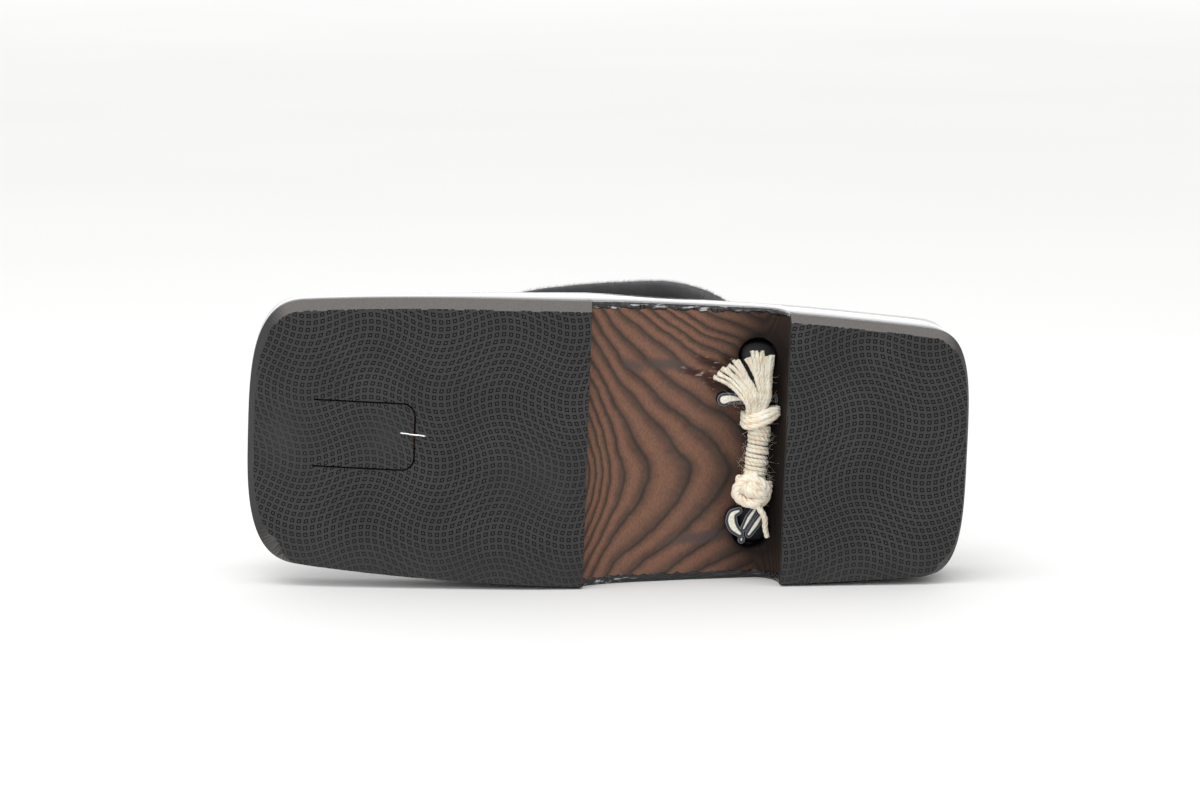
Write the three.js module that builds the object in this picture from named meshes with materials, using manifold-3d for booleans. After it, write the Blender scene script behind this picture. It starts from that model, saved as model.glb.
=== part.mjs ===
// A geta sandal lying on its right side: a burnt cedar base hollowed under the arch, two sponge
// rubber soles, a padded thong strap, and the cotton tie that holds the strap's ends under the arch.
// Every piece is built upright, in millimetres: x runs from the toe to the heel, y to the wearer's
// right, and z up from the ground. The last lines lay the whole sandal down on its side.
import * as THREE from "three";
import { mergeVertices } from "three/addons/utils/BufferGeometryUtils.js";
import Module from "manifold-3d";

const wasm = await Module();
wasm.setup();

// Plan of the base
const SOLE_LENGTH = 266;
const TOE_WIDTH = 95;
const BALL_WIDTH = 106.4;
const WAIST_NARROWING = 5.3;
const BACK_WIDTH = 90.5;
const TOE_ROUNDING = 22;
const TOE_SQUARENESS = 3.1;
const HEEL_ROUNDING = 19;
const HEEL_SQUARENESS = 3.6;

// Side view of the base
const WOOD_AT_HEEL = 31.5;
const TOE_SPRING = 16;
const SPRING_LENGTH = 108;
const ARCH_START = 124.5;
const ARCH_LENGTH = 73.5;
const ARCH_RISE = 13;
const COVE_LENGTH = 8.5;
const TOP_EDGE_RADIUS = 2;
const LOWER_EDGE_RADIUS = 0.8;

// Rubber soles
const RUBBER_THICKNESS = 6;
const SEAM_GAP = 0.3;

// Flap in the front sole, its staple, and the thong hole that it covers
const FLAP_START = 24;
const FLAP_LENGTH = 37.5;
const FLAP_WIDTH = 25.4;
const FLAP_OFFSET = -1;
const FLAP_CORNER = 5;
const KERF_WIDTH = 0.7;
const STAPLE_WIRE = 0.9;
const STAPLE_CROWN = 10.2;
const STAPLE_LEG = 4.5;
const STAPLE_CLEARANCE = 0.12;
const THONG_HOLE_AT = 43;
const THONG_HOLE = 12;
const KNOT_POCKET = 23;
const KNOT_POCKET_DEPTH = 7.5;

// Strap
const REAR_HOLE = 14.5;
const HOLE_TO_SIDE = 18.4;
const HOLE_TO_ARCH_END = 10;
const STRAP_WIDTH = 20;
const STRAP_THICKNESS = 10;
const STRAP_RISE = 36;
const THONG_THICKNESS = 1.8;
const THONG_BAND = 10;
const SOFT_GAP = 0.3;
const FOLD_THICKNESS = 2.6;
const LAYERS_THICKNESS = 7.4;
const LAYERS_HEIGHT = 4;

// Cotton tie under the arch
const TIE_CORD = 2.2;
const TIE_WRAP_WIDTH = 8.4;
const TIE_WRAP_LENGTH = 19.6;
const TIE_TURNS = 9;
const TAIL_CUT_HEIGHT = 12.5;

const ARCH_END = ARCH_START + ARCH_LENGTH;
const WAIST_WIDTH = BALL_WIDTH - WAIST_NARROWING;
const REST_TILT = Math.atan2(WAIST_NARROWING / 2, ARCH_LENGTH);
const REAR_HOLE_AT = ARCH_END - HOLE_TO_ARCH_END;

const MATERIALS = {
  wood: new THREE.MeshStandardMaterial({ color: 0x6b4a3c, roughness: 0.75 }),
  rubber: new THREE.MeshStandardMaterial({ color: 0x454546, roughness: 0.85 }),
  velvet: new THREE.MeshStandardMaterial({ color: 0x3c3c3e, roughness: 0.95 }),
  vinyl: new THREE.MeshStandardMaterial({ color: 0x1c1c1e, roughness: 0.3 }),
  cotton: new THREE.MeshStandardMaterial({ color: 0xf0e2c4, roughness: 0.9 }),
  steel: new THREE.MeshStandardMaterial({ color: 0xc9c9cc, roughness: 0.3, metalness: 1 }),
};

// Even steps from one value to another, both included, none longer than the step asked for.
function spread(from, to, step) {
  const count = Math.max(1, Math.ceil((to - from) / step));
  return Array.from({ length: count + 1 }, (_, i) => from + ((to - from) * i) / count);
}

function mix(a, b, share) {
  return a + (b - a) * share;
}

// The value of a table's column at a share of the length, eased between its rows.
function tableValue(rows, column, at) {
  const next = rows.findIndex((row) => row.at >= at);
  if (next <= 0) return rows[next === 0 ? 0 : rows.length - 1][column];
  const [a, b] = [rows[next - 1], rows[next]];
  const before = rows[next - 2] ?? a;
  const after = rows[next + 1] ?? b;
  const run = b.at - a.at;
  const slopeA = ((b[column] - before[column]) / (b.at - before.at)) * run;
  const slopeB = ((after[column] - a[column]) / (after.at - a.at)) * run;
  const t = (at - a.at) / run;
  return (
    a[column] * (2 * t ** 3 - 3 * t ** 2 + 1) +
    slopeA * (t ** 3 - 2 * t ** 2 + t) +
    b[column] * (3 * t ** 2 - 2 * t ** 3) +
    slopeB * (t ** 3 - t ** 2)
  );
}

// Half the base's width where its ends aren't rounded. The sides are straight along the arch.
function sideHalf(x) {
  const line = BALL_WIDTH / 2 - (x - ARCH_START) * Math.tan(REST_TILT);
  if (x < ARCH_START) {
    const fore = (ARCH_START - x) / ARCH_START;
    return (BALL_WIDTH - (BALL_WIDTH - TOE_WIDTH) * fore ** 2.4) / 2;
  }
  if (x <= ARCH_END) return line;
  const aft = (x - ARCH_END) / (SOLE_LENGTH - ARCH_END);
  const lineAtBack = WAIST_WIDTH / 2 - (SOLE_LENGTH - ARCH_END) * Math.tan(REST_TILT);
  return line - (lineAtBack - BACK_WIDTH / 2) * aft ** 1.3;
}

// How far each rear hole is from the middle line
const HOLE_SIDE = sideHalf(REAR_HOLE_AT) - HOLE_TO_SIDE;

function roundedEnd(distance, depth, squareness) {
  if (distance >= depth) return 1;
  const inward = 1 - Math.max(distance, 0) / depth;
  return (1 - inward ** squareness) ** (1 / squareness);
}

function halfWidth(x) {
  const toe = roundedEnd(x, TOE_ROUNDING, TOE_SQUARENESS);
  const heel = roundedEnd(SOLE_LENGTH - x, HEEL_ROUNDING, HEEL_SQUARENESS);
  return sideHalf(x) * toe * heel;
}

// Distances from an end at which its rounded outline turns by even angles.
function endStations(depth, squareness, count = 13) {
  return Array.from({ length: count }, (_, i) => {
    const turn = ((i + 0.6) / (count - 0.4)) * (Math.PI / 2);
    return depth * (1 - Math.cos(turn) ** (2 / squareness));
  });
}

const toeStations = endStations(TOE_ROUNDING, TOE_SQUARENESS);
const heelStations = endStations(HEEL_ROUNDING, HEEL_SQUARENESS)
  .map((distance) => SOLE_LENGTH - distance)
  .reverse();
const foreStations = [...toeStations, ...spread(TOE_ROUNDING, ARCH_START, 6.5).slice(1)];
const aftStations = [...spread(ARCH_END, heelStations[0], 7), ...heelStations.slice(1)];
const coveStart = ARCH_END - COVE_LENGTH;
const coveStations = Array.from(
  { length: 8 },
  (_, i) => coveStart + COVE_LENGTH * Math.sin(((i + 1) / 8) * (Math.PI / 2)),
);
const archStations = [...spread(ARCH_START, coveStart, 6.5), ...coveStations];

// A point of the outline, moved square to the edge by an inset. The inset is a number, or a function
// of the outline's own direction there.
function outlinePoint(x, side, inset) {
  const low = Math.max(x - 0.01, 0);
  const high = Math.min(x + 0.01, SOLE_LENGTH);
  const slope = (halfWidth(high) - halfWidth(low)) / (high - low);
  const length = Math.hypot(1, slope);
  const normal = { along: -slope / length, across: 1 / length };
  const inward = typeof inset === "function" ? inset(normal, side) : inset;
  const px = x - inward * normal.along;
  return { x: px, y: side * (halfWidth(x) - inward * normal.across) };
}

// Heights above the ground
function springHeight(x) {
  if (x >= SPRING_LENGTH) return 0;
  return TOE_SPRING * ((SPRING_LENGTH - x) / SPRING_LENGTH) ** 1.25;
}

// Rise of the hollow arch at shares of its length, as shares of its full rise.
const ARCH_RISE_ROWS = [
  { at: 0, rise: 0 },
  { at: 0.17, rise: 0.38 },
  { at: 0.27, rise: 0.5 },
  { at: 0.42, rise: 0.65 },
  { at: 0.55, rise: 0.77 },
  { at: 0.7, rise: 0.88 },
  { at: 0.8, rise: 0.95 },
  { at: 0.885, rise: 1 },
];

function archRise(x) {
  if (x <= ARCH_START || x >= ARCH_END) return 0;
  if (x > coveStart) return ARCH_RISE * Math.sqrt(1 - ((x - coveStart) / COVE_LENGTH) ** 2);
  const along = ((x - ARCH_START) / (coveStart - ARCH_START)) * 0.885;
  return ARCH_RISE * tableValue(ARCH_RISE_ROWS, "rise", along);
}

function woodUnder(x) {
  return springHeight(x) + RUBBER_THICKNESS + archRise(x);
}

// Thickness of the uncut wood at shares of the sole's length, as shares of the wood at the heel.
const WOOD_ROWS = [
  { at: 0, thick: 0.4 },
  { at: 0.11, thick: 0.42 },
  { at: 0.245, thick: 0.47 },
  { at: 0.376, thick: 0.75 },
  { at: 0.47, thick: 0.89 },
  { at: 0.565, thick: 0.91 },
  { at: 0.75, thick: 0.93 },
  { at: 1, thick: 1 },
];

function woodTop(x) {
  const thick = WOOD_AT_HEEL * tableValue(WOOD_ROWS, "thick", x / SOLE_LENGTH);
  return springHeight(x) + RUBBER_THICKNESS + thick;
}

// A geometry from points and triangles, with its faces turned outwards.
function closedGeometry(points, triangles) {
  let volume = 0;
  for (const [a, b, c] of triangles) {
    volume += points[a].clone().cross(points[b]).dot(points[c]);
  }
  const index = triangles.flatMap(([a, b, c]) => (volume < 0 ? [a, c, b] : [a, b, c]));
  const geometry = new THREE.BufferGeometry().setFromPoints(points);
  geometry.setIndex(index);
  return geometry;
}

// A body through loops of equal length. A cap is made of strips between the loop's two halves.
function throughLoops(loops) {
  const count = loops[0].length;
  const triangles = [];
  for (let k = 0; k + 1 < loops.length; k += 1) {
    for (let i = 0; i < count; i += 1) {
      const j = (i + 1) % count;
      const [a, b] = [k * count + i, k * count + j];
      triangles.push([a, b, b + count], [a, b + count, a + count]);
    }
  }
  const last = (loops.length - 1) * count;
  for (let i = 0; i + 1 < count / 2; i += 1) {
    const [a, b, c, d] = [i, i + 1, count - 2 - i, count - 1 - i];
    triangles.push([b, a, c], [c, a, d]);
    triangles.push([last + a, last + b, last + c], [last + a, last + c, last + d]);
  }
  return closedGeometry(loops.flat(), triangles);
}

// A slab of the sole's outline between stations. Each level has an inset and a height function.
function slab(stations, levels) {
  const loops = levels.map(({ inset, height }) => {
    const right = stations.map((x) => outlinePoint(x, 1, inset));
    const left = stations.map((x) => outlinePoint(x, -1, inset)).reverse();
    return [...right, ...left].map(({ x, y }) => new THREE.Vector3(x, y, height(x)));
  });
  return throughLoops(loops);
}

// Solids for the cuts and joins
function solid(geometry) {
  const bare = geometry.clone();
  bare.deleteAttribute("normal");
  bare.deleteAttribute("uv");
  const merged = mergeVertices(bare, 1e-4);
  return new wasm.Manifold(
    new wasm.Mesh({
      numProp: 3,
      vertProperties: Float32Array.from(merged.attributes.position.array),
      triVerts: Uint32Array.from(merged.index.array),
    }),
  );
}

function geometryOf(body) {
  const mesh = body.getMesh();
  const geometry = new THREE.BufferGeometry();
  geometry.setAttribute("position", new THREE.BufferAttribute(mesh.vertProperties, 3));
  geometry.setIndex(new THREE.BufferAttribute(mesh.triVerts, 1));
  return geometry;
}

function joined(...geometries) {
  return geometries.map(solid).reduce((body, next) => body.add(next));
}

// An upright round hole or pin.
function uprightCylinder(x, y, diameter, low, high, sides = 32) {
  const geometry = new THREE.CylinderGeometry(diameter / 2, diameter / 2, high - low, sides);
  geometry.rotateX(Math.PI / 2);
  return geometry.translate(x, y, (low + high) / 2);
}

// A tube swept along points, with a half width and a half thickness at each of them. The face vector
// says which way the thin side looks.
function sweptBand(stations, sides, squareness = 2) {
  const points = stations.map(({ point }) => point);
  const loops = stations.map(({ point, wide, thick, face }, i) => {
    const before = points[Math.max(i - 1, 0)];
    const after = points[Math.min(i + 1, points.length - 1)];
    const tangent = after.clone().sub(before).normalize();
    const across = tangent.clone().cross(face).normalize();
    const out = across.clone().cross(tangent).normalize();
    return Array.from({ length: sides }, (_, k) => {
      const turn = (k / sides) * 2 * Math.PI;
      const [c, s] = [Math.cos(turn), Math.sin(turn)];
      const u = Math.sign(c) * Math.abs(c) ** (2 / squareness) * (wide / 2);
      const v = Math.sign(s) * Math.abs(s) ** (2 / squareness) * (thick / 2);
      return point.clone().addScaledVector(across, u).addScaledVector(out, v);
    });
  });
  return throughLoops(loops);
}

// Rows of a band turned into evenly divided stations along a smooth curve.
function bandStations(rows, steps) {
  const curve = new THREE.CatmullRomCurve3(
    rows.map((row) => row.point),
    false,
    "centripetal",
  );
  const spans = rows.length - 1;
  return Array.from({ length: spans * steps + 1 }, (_, i) => {
    const at = i / steps;
    const k = Math.min(Math.floor(at), spans - 1);
    const share = at - k;
    const [a, b] = [rows[k], rows[k + 1]];
    return {
      point: curve.getPoint(at / spans),
      wide: mix(a.wide, b.wide, share),
      thick: mix(a.thick, b.thick, share),
      face: a.face.clone().lerp(b.face, share),
    };
  });
}

// Base: one block of cedar with rounded upper edges, hollowed under the arch
function baseGeometry() {
  const stations = [...foreStations, ...archStations.slice(1), ...aftStations.slice(1)];
  const edgeTurns = [0, 0.3, 0.6, 0.85, 1].map((share) => (share * Math.PI) / 2);
  const topEdge = edgeTurns.map((turn) => ({
    inset: TOP_EDGE_RADIUS * (1 - Math.cos(turn)),
    height: (x) => woodTop(x) - TOP_EDGE_RADIUS * (1 - Math.sin(turn)),
  }));
  const block = slab(stations, [
    { inset: LOWER_EDGE_RADIUS, height: woodUnder },
    { inset: 0, height: (x) => woodUnder(x) + LOWER_EDGE_RADIUS },
    ...topEdge,
  ]);
  const overTop = woodTop(SOLE_LENGTH) + 1;
  const pocketTop = woodUnder(THONG_HOLE_AT) + KNOT_POCKET_DEPTH;
  const cuts = [
    uprightCylinder(THONG_HOLE_AT, 0, THONG_HOLE, 0, overTop),
    uprightCylinder(THONG_HOLE_AT, 0, KNOT_POCKET, 0, pocketTop),
    uprightCylinder(REAR_HOLE_AT, HOLE_SIDE, REAR_HOLE, 0, overTop),
    uprightCylinder(REAR_HOLE_AT, -HOLE_SIDE, REAR_HOLE, 0, overTop),
  ];
  return cuts.reduce((body, cut) => body.subtract(solid(cut)), solid(block));
}

// Hand-trimmed slant of the rubber's side, by which way that side looks
const FRONT_TRIM = { left: 3.7, right: 0.9, end: 2.4, leftCorner: 0.4, rightCorner: 4.2 };
const HEEL_TRIM = { left: 2.8, right: 0.9, end: 1.5, leftCorner: 1.1, rightCorner: 2.6 };

function trimInset({ left, right, end, leftCorner, rightCorner }) {
  return (normal, side) => {
    const across = normal.across ** 2;
    const diagonal = 4 * across * (1 - across);
    const [flank, corner] = side < 0 ? [left, leftCorner] : [right, rightCorner];
    return flank * across + end * (1 - across) + corner * diagonal;
  };
}

function rubberSlab(stations, trim) {
  return slab(stations, [
    { inset: trimInset(trim), height: springHeight },
    { inset: 0, height: (x) => springHeight(x) + RUBBER_THICKNESS - SEAM_GAP },
  ]);
}

// A U-shaped saw cut round the flap, open towards the toe.
function kerfGeometry() {
  const shape = new THREE.Shape();
  const end = FLAP_START + FLAP_LENGTH;
  const runs = [
    { half: FLAP_WIDTH / 2, stop: end, corner: FLAP_CORNER },
    { half: FLAP_WIDTH / 2 - KERF_WIDTH, stop: end - KERF_WIDTH, corner: FLAP_CORNER - KERF_WIDTH },
  ];
  const [outer, inner] = runs;
  shape.moveTo(FLAP_START, -outer.half);
  shape.absarc(end - outer.corner, outer.corner - outer.half, outer.corner, -Math.PI / 2, 0);
  shape.absarc(end - outer.corner, outer.half - outer.corner, outer.corner, 0, Math.PI / 2);
  shape.lineTo(FLAP_START, outer.half);
  shape.lineTo(FLAP_START, inner.half);
  const middle = inner.stop - inner.corner;
  shape.absarc(middle, inner.half - inner.corner, inner.corner, Math.PI / 2, 0, true);
  shape.absarc(middle, inner.corner - inner.half, inner.corner, 0, -Math.PI / 2, true);
  shape.lineTo(FLAP_START, -inner.half);
  const depth = TOE_SPRING + 2 * RUBBER_THICKNESS;
  const kerf = new THREE.ExtrudeGeometry(shape, { depth, bevelEnabled: false, curveSegments: 5 });
  return kerf.translate(0, FLAP_OFFSET, 0);
}

// Staple over the flap's loose edge: a crown lying on the rubber and two legs pushed into it
function stapleBody(extra) {
  const radius = STAPLE_WIRE / 2 + extra;
  const flapEnd = FLAP_START + FLAP_LENGTH;
  const slant = Math.atan2(
    springHeight(flapEnd - STAPLE_CROWN / 2) - springHeight(flapEnd + STAPLE_CROWN / 2),
    STAPLE_CROWN,
  );
  const crown = new THREE.CapsuleGeometry(radius, STAPLE_CROWN - STAPLE_WIRE, 3, 8);
  crown.rotateZ(Math.PI / 2);
  const legs = [-1, 1].map((end) => {
    const leg = new THREE.CylinderGeometry(radius, radius, STAPLE_LEG + extra, 8);
    leg.rotateX(Math.PI / 2);
    return leg.translate((end * (STAPLE_CROWN - STAPLE_WIRE)) / 2, 0, (STAPLE_LEG + extra) / 2);
  });
  const place = new THREE.Matrix4()
    .makeTranslation(flapEnd - 1, FLAP_OFFSET - 1.2, springHeight(flapEnd) + 0.15)
    .multiply(new THREE.Matrix4().makeRotationZ(0.08))
    .multiply(new THREE.Matrix4().makeRotationY(slant));
  return joined(...[crown, ...legs].map((piece) => piece.applyMatrix4(place)));
}

function frontSoleGeometry() {
  const rubber = solid(rubberSlab(foreStations, FRONT_TRIM));
  return rubber.subtract(solid(kerfGeometry())).subtract(stapleBody(STAPLE_CLEARANCE));
}

// Strap: one padded band from hole to hole, bent round the thong in front. Half of it, from the
// middle, as shares: back is the way from the thong hole to the rear holes, out is of half the
// sole's width there, up is of the strap's rise above the wood, wide and thick are of the band.
const STRAP_ROWS = [
  { back: 0, out: 0, up: 0.56, wide: 0.62, thick: 0.8, faceBack: 1, faceIn: 0, faceDown: 0.45 },
  { back: 0.055, out: 0.165, up: 0.6, wide: 0.66, thick: 0.85, faceBack: 0.8, faceIn: 0.5, faceDown: 0.5 },
  { back: 0.14, out: 0.365, up: 0.68, wide: 0.75, thick: 0.95, faceBack: 0.55, faceIn: 0.75, faceDown: 0.6 },
  { back: 0.26, out: 0.6, up: 0.8, wide: 0.9, thick: 1, faceBack: 0.4, faceIn: 0.8, faceDown: 0.6 },
  { back: 0.4, out: 0.787, up: 0.93, wide: 1, thick: 1, faceBack: 0.25, faceIn: 0.85, faceDown: 0.5 },
  { back: 0.54, out: 0.857, up: 1, wide: 1, thick: 1, faceBack: 0.1, faceIn: 0.9, faceDown: 0.35 },
  { back: 0.68, out: 0.911, up: 1, wide: 1, thick: 1, faceBack: 0, faceIn: 1, faceDown: 0.2 },
  { back: 0.8, out: 0.94, up: 0.93, wide: 0.96, thick: 1, faceBack: 0, faceIn: 1, faceDown: 0.1 },
  { back: 0.89, out: 0.894, up: 0.72, wide: 0.86, thick: 0.96, faceBack: -0.05, faceIn: 1, faceDown: 0 },
  { back: 0.96, out: 0.77, up: 0.38, wide: 0.7, thick: 0.92, faceBack: -0.1, faceIn: 1, faceDown: 0 },
];

function strapRow({ back, out, up, wide, thick, faceBack, faceIn, faceDown }, side) {
  const x = mix(THONG_HOLE_AT, REAR_HOLE_AT, back);
  return {
    point: new THREE.Vector3(x, side * out * sideHalf(x), woodTop(x) + up * STRAP_RISE),
    wide: wide * STRAP_WIDTH,
    thick: thick * STRAP_THICKNESS,
    face: new THREE.Vector3(faceBack, -side * faceIn, -faceDown),
  };
}

// The strap's end, squeezed into its hole down to the middle of the wood.
function strapEndRows(side) {
  const top = woodTop(REAR_HOLE_AT);
  const bottom = woodUnder(REAR_HOLE_AT) + RUBBER_THICKNESS;
  const squeezed = REAR_HOLE - 4;
  const heights = [top + 0.1 * STRAP_RISE, top - REAR_HOLE / 4, mix(top, bottom, 0.6), bottom];
  return heights.map((z, i) => ({
    point: new THREE.Vector3(REAR_HOLE_AT, side * (HOLE_SIDE + (i ? 0 : 1)), z),
    wide: squeezed,
    thick: squeezed - 1,
    face: new THREE.Vector3(-0.1, -side, 0),
  }));
}

function strapStations(extra) {
  const right = [...STRAP_ROWS.slice(1).map((row) => strapRow(row, 1)), ...strapEndRows(1)];
  const left = [...STRAP_ROWS.slice(1).map((row) => strapRow(row, -1)), ...strapEndRows(-1)];
  const rows = [...left.reverse(), strapRow(STRAP_ROWS[0], 1), ...right].map((row) => ({
    ...row,
    wide: row.wide + 2 * extra,
    thick: row.thick + 2 * extra,
  }));
  return bandStations(rows, 3);
}

function strapBody(extra) {
  return solid(sweptBand(strapStations(extra), 16, 2.5));
}

// Everything beyond the plane that the sandal's right side lies on.
function beyondRestPlane() {
  const block = new THREE.BoxGeometry(2 * SOLE_LENGTH, SOLE_LENGTH, SOLE_LENGTH);
  block.translate(0, SOLE_LENGTH / 2, 0);
  block.rotateZ(-REST_TILT);
  return solid(block.translate(ARCH_START, BALL_WIDTH / 2, 0));
}

function strapGeometry() {
  return strapBody(0).subtract(beyondRestPlane());
}

// Toe thong: a fabric loop round the strap's bend, a stem through the front hole, and its knot
function thongGeometry() {
  const round = strapStations(SOFT_GAP + THONG_THICKNESS).filter(
    ({ point }) => Math.abs(point.y) < THONG_BAND / 2 + 0.5,
  );
  const loop = sweptBand(round, 16, 2.5);
  const bend = strapRow(STRAP_ROWS[0], 1);
  const stemTop = bend.point.z - bend.wide / 2;
  const seat = woodUnder(THONG_HOLE_AT - KNOT_POCKET / 2);
  const pocketTop = woodUnder(THONG_HOLE_AT) + KNOT_POCKET_DEPTH;
  const stem = THONG_HOLE - 2;
  const profile = [
    [0, seat],
    [KNOT_POCKET / 2 - 3, seat],
    [KNOT_POCKET / 2 - 1, mix(seat, pocketTop, 0.35)],
    [KNOT_POCKET / 2 - 1, mix(seat, pocketTop, 0.65)],
    [stem / 2 + 1, pocketTop - SOFT_GAP],
    [stem / 2, pocketTop],
    [stem / 2, woodTop(THONG_HOLE_AT) + 2],
    [stem / 2 - 0.6, stemTop - THONG_THICKNESS],
    [stem / 4, stemTop + THONG_THICKNESS],
    [0, stemTop + THONG_THICKNESS],
  ].map(([radius, height]) => new THREE.Vector2(radius, height));
  const post = new THREE.LatheGeometry(profile, 24);
  post.rotateX(Math.PI / 2);
  post.translate(THONG_HOLE_AT, 0, 0);
  return joined(loop, post).subtract(strapBody(SOFT_GAP));
}

const wrapHeight = woodUnder(REAR_HOLE_AT) - TIE_WRAP_WIDTH / 2 - SOFT_GAP;
const DOWN = new THREE.Vector3(0, 0, -1);

// Places under the arch are given from the middle between the rear holes: back and right are shares
// of a hole's way from that middle, and drop is the way below the wrap's own height, in cords.
function underArch(back, right, drop) {
  const height = wrapHeight - drop * TIE_CORD;
  return new THREE.Vector3(REAR_HOLE_AT + back * HOLE_SIDE, right * HOLE_SIDE, height);
}

// A cord, fan or neck through rows of places, whose width and thickness are counted in cords.
function cordThrough(rows, sides, steps) {
  const stations = rows.map(({ back, right, drop, wide, thick }) => ({
    point: underArch(back, right, drop),
    wide: wide * TIE_CORD,
    thick: thick * TIE_CORD,
    face: DOWN,
  }));
  return sweptBand(bandStations(stations, steps), sides, 2.4);
}

// Tie: cotton cord wound round itself between the rear holes, with a knot at each end
function tieWrapGeometry() {
  const turn = TIE_WRAP_LENGTH / TIE_TURNS;
  const profile = [new THREE.Vector2(0, -turn)];
  for (let i = 0; i < TIE_TURNS; i += 1) {
    const start = i * turn;
    profile.push(new THREE.Vector2(TIE_WRAP_WIDTH / 2 - 0.5, start));
    profile.push(new THREE.Vector2(TIE_WRAP_WIDTH / 2, start + turn * 0.3));
    profile.push(new THREE.Vector2(TIE_WRAP_WIDTH / 2, start + turn * 0.7));
  }
  profile.push(new THREE.Vector2(TIE_WRAP_WIDTH / 2 - 0.5, TIE_WRAP_LENGTH));
  profile.push(new THREE.Vector2(0, TIE_WRAP_LENGTH + turn));
  const wrap = new THREE.LatheGeometry(profile, 14);
  wrap.translate(0, -TIE_WRAP_LENGTH / 2, 0);
  wrap.rotateZ(0.1);
  const middle = underArch(0.031, 0.114, 0);
  wrap.translate(middle.x, middle.y, middle.z);
  const upper = cordThrough(
    [
      { back: -0.154, right: -0.228, drop: 0.27, wide: 1.55, thick: 2 },
      { back: -0.092, right: -0.265, drop: 0.41, wide: 3.09, thick: 3.45 },
      { back: 0.062, right: -0.289, drop: 0.64, wide: 3.45, thick: 3.55 },
      { back: 0.191, right: -0.357, drop: 1.36, wide: 2.27, thick: 2.09 },
      { back: 0.246, right: -0.4, drop: 1.82, wide: 1.18, thick: 1.18 },
    ],
    12,
    3,
  );
  const lower = new THREE.SphereGeometry(0.5, 14, 9);
  lower.scale(6.18 * TIE_CORD, 4.45 * TIE_CORD, TIE_WRAP_WIDTH + 0.2);
  const lowerAt = underArch(-0.037, 0.529, 0.09);
  lower.translate(lowerAt.x, lowerAt.y, lowerAt.z);
  return joined(wrap, upper, lower);
}

// The two frayed ends of the tie, fanned out over the left hole
function frayToeGeometry() {
  return cordThrough(
    [
      { back: -0.025, right: -0.412, drop: 2.09, wide: 2.09, thick: 1.18 },
      { back: -0.138, right: -0.585, drop: 1.91, wide: 2.55, thick: 1.36 },
      { back: -0.262, right: -0.738, drop: 1.45, wide: 3.73, thick: 1.27 },
      { back: -0.369, right: -0.874, drop: 1.09, wide: 5, thick: 1 },
    ],
    10,
    2,
  );
}

function frayHeelGeometry() {
  return cordThrough(
    [
      { back: 0.114, right: -0.449, drop: 2.09, wide: 1.64, thick: 1.18 },
      { back: 0.123, right: -0.615, drop: 1.95, wide: 2.18, thick: 1.27 },
      { back: 0.092, right: -0.862, drop: 1.64, wide: 3.45, thick: 1.18 },
      { back: 0.018, right: -1.058, drop: 1.36, wide: 4.55, thick: 1 },
    ],
    10,
    2,
  );
}

function tieTailGeometry() {
  return cordThrough(
    [
      { back: 0.043, right: 0.695, drop: 1.55, wide: 1, thick: 1 },
      { back: 0.123, right: 0.862, drop: 1.45, wide: 1, thick: 1 },
      { back: 0.188, right: 1.052, drop: 1.09, wide: 1, thick: 1 },
    ],
    8,
    3,
  );
}

// Strap ends: the band's cover and core, folded, pushed through the hole and cut off square
function holePlug(side) {
  const top = woodUnder(REAR_HOLE_AT) + RUBBER_THICKNESS - SOFT_GAP;
  return uprightCylinder(REAR_HOLE_AT, side * HOLE_SIDE, REAR_HOLE - 3, TAIL_CUT_HEIGHT + 3, top, 20);
}

// A flat strip folded along a plan route, in the same shares, and cut off at one height.
function foldedStrip(route, thickness, low, high) {
  const places = route.map(([back, right]) => new THREE.Vector2(back, right));
  const curve = new THREE.SplineCurve(places.map((place) => place.multiplyScalar(HOLE_SIDE)));
  const count = 6 * (route.length - 1);
  const edge = (side) =>
    Array.from({ length: count + 1 }, (_, i) => {
      const along = curve.getTangent(i / count);
      const at = curve.getPoint(i / count);
      return at.add(new THREE.Vector2(-along.y, along.x).multiplyScalar((side * thickness) / 2));
    });
  const shape = new THREE.Shape([...edge(1), ...edge(-1).reverse()]);
  const strip = new THREE.ExtrudeGeometry(shape, { depth: high - low, bevelEnabled: false });
  return strip.translate(REAR_HOLE_AT, 0, low);
}

const stripTop = woodUnder(REAR_HOLE_AT - REAR_HOLE) - SOFT_GAP;

function leftEndGeometry() {
  const neck = cordThrough(
    [
      { back: 0, right: -1, drop: -0.55, wide: 4.77, thick: 2.27 },
      { back: 0, right: -0.754, drop: -0.27, wide: 4.32, thick: 2.27 },
      { back: 0.012, right: -0.508, drop: -0.14, wide: 3.86, thick: 2.27 },
    ],
    12,
    2,
  );
  const fold = foldedStrip(
    [
      [-0.062, -0.6],
      [-0.231, -0.615],
      [-0.375, -0.585],
      [-0.357, -0.48],
      [-0.215, -0.511],
      [-0.123, -0.554],
    ],
    FOLD_THICKNESS,
    TAIL_CUT_HEIGHT,
    stripTop,
  );
  return joined(holePlug(-1), neck, fold);
}

function rightEndGeometry() {
  const curl = foldedStrip(
    [
      [-0.197, 0.911],
      [-0.191, 0.782],
      [-0.258, 0.738],
      [-0.326, 0.837],
      [-0.295, 0.985],
      [-0.142, 1.058],
    ],
    FOLD_THICKNESS,
    TAIL_CUT_HEIGHT,
    stripTop,
  );
  const layers = foldedStrip(
    [
      [-0.111, 1.015],
      [0, 0.892],
      [0.074, 0.782],
    ],
    LAYERS_THICKNESS,
    TAIL_CUT_HEIGHT,
    TAIL_CUT_HEIGHT + LAYERS_HEIGHT,
  );
  return joined(holePlug(1), curl, layers);
}

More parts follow.
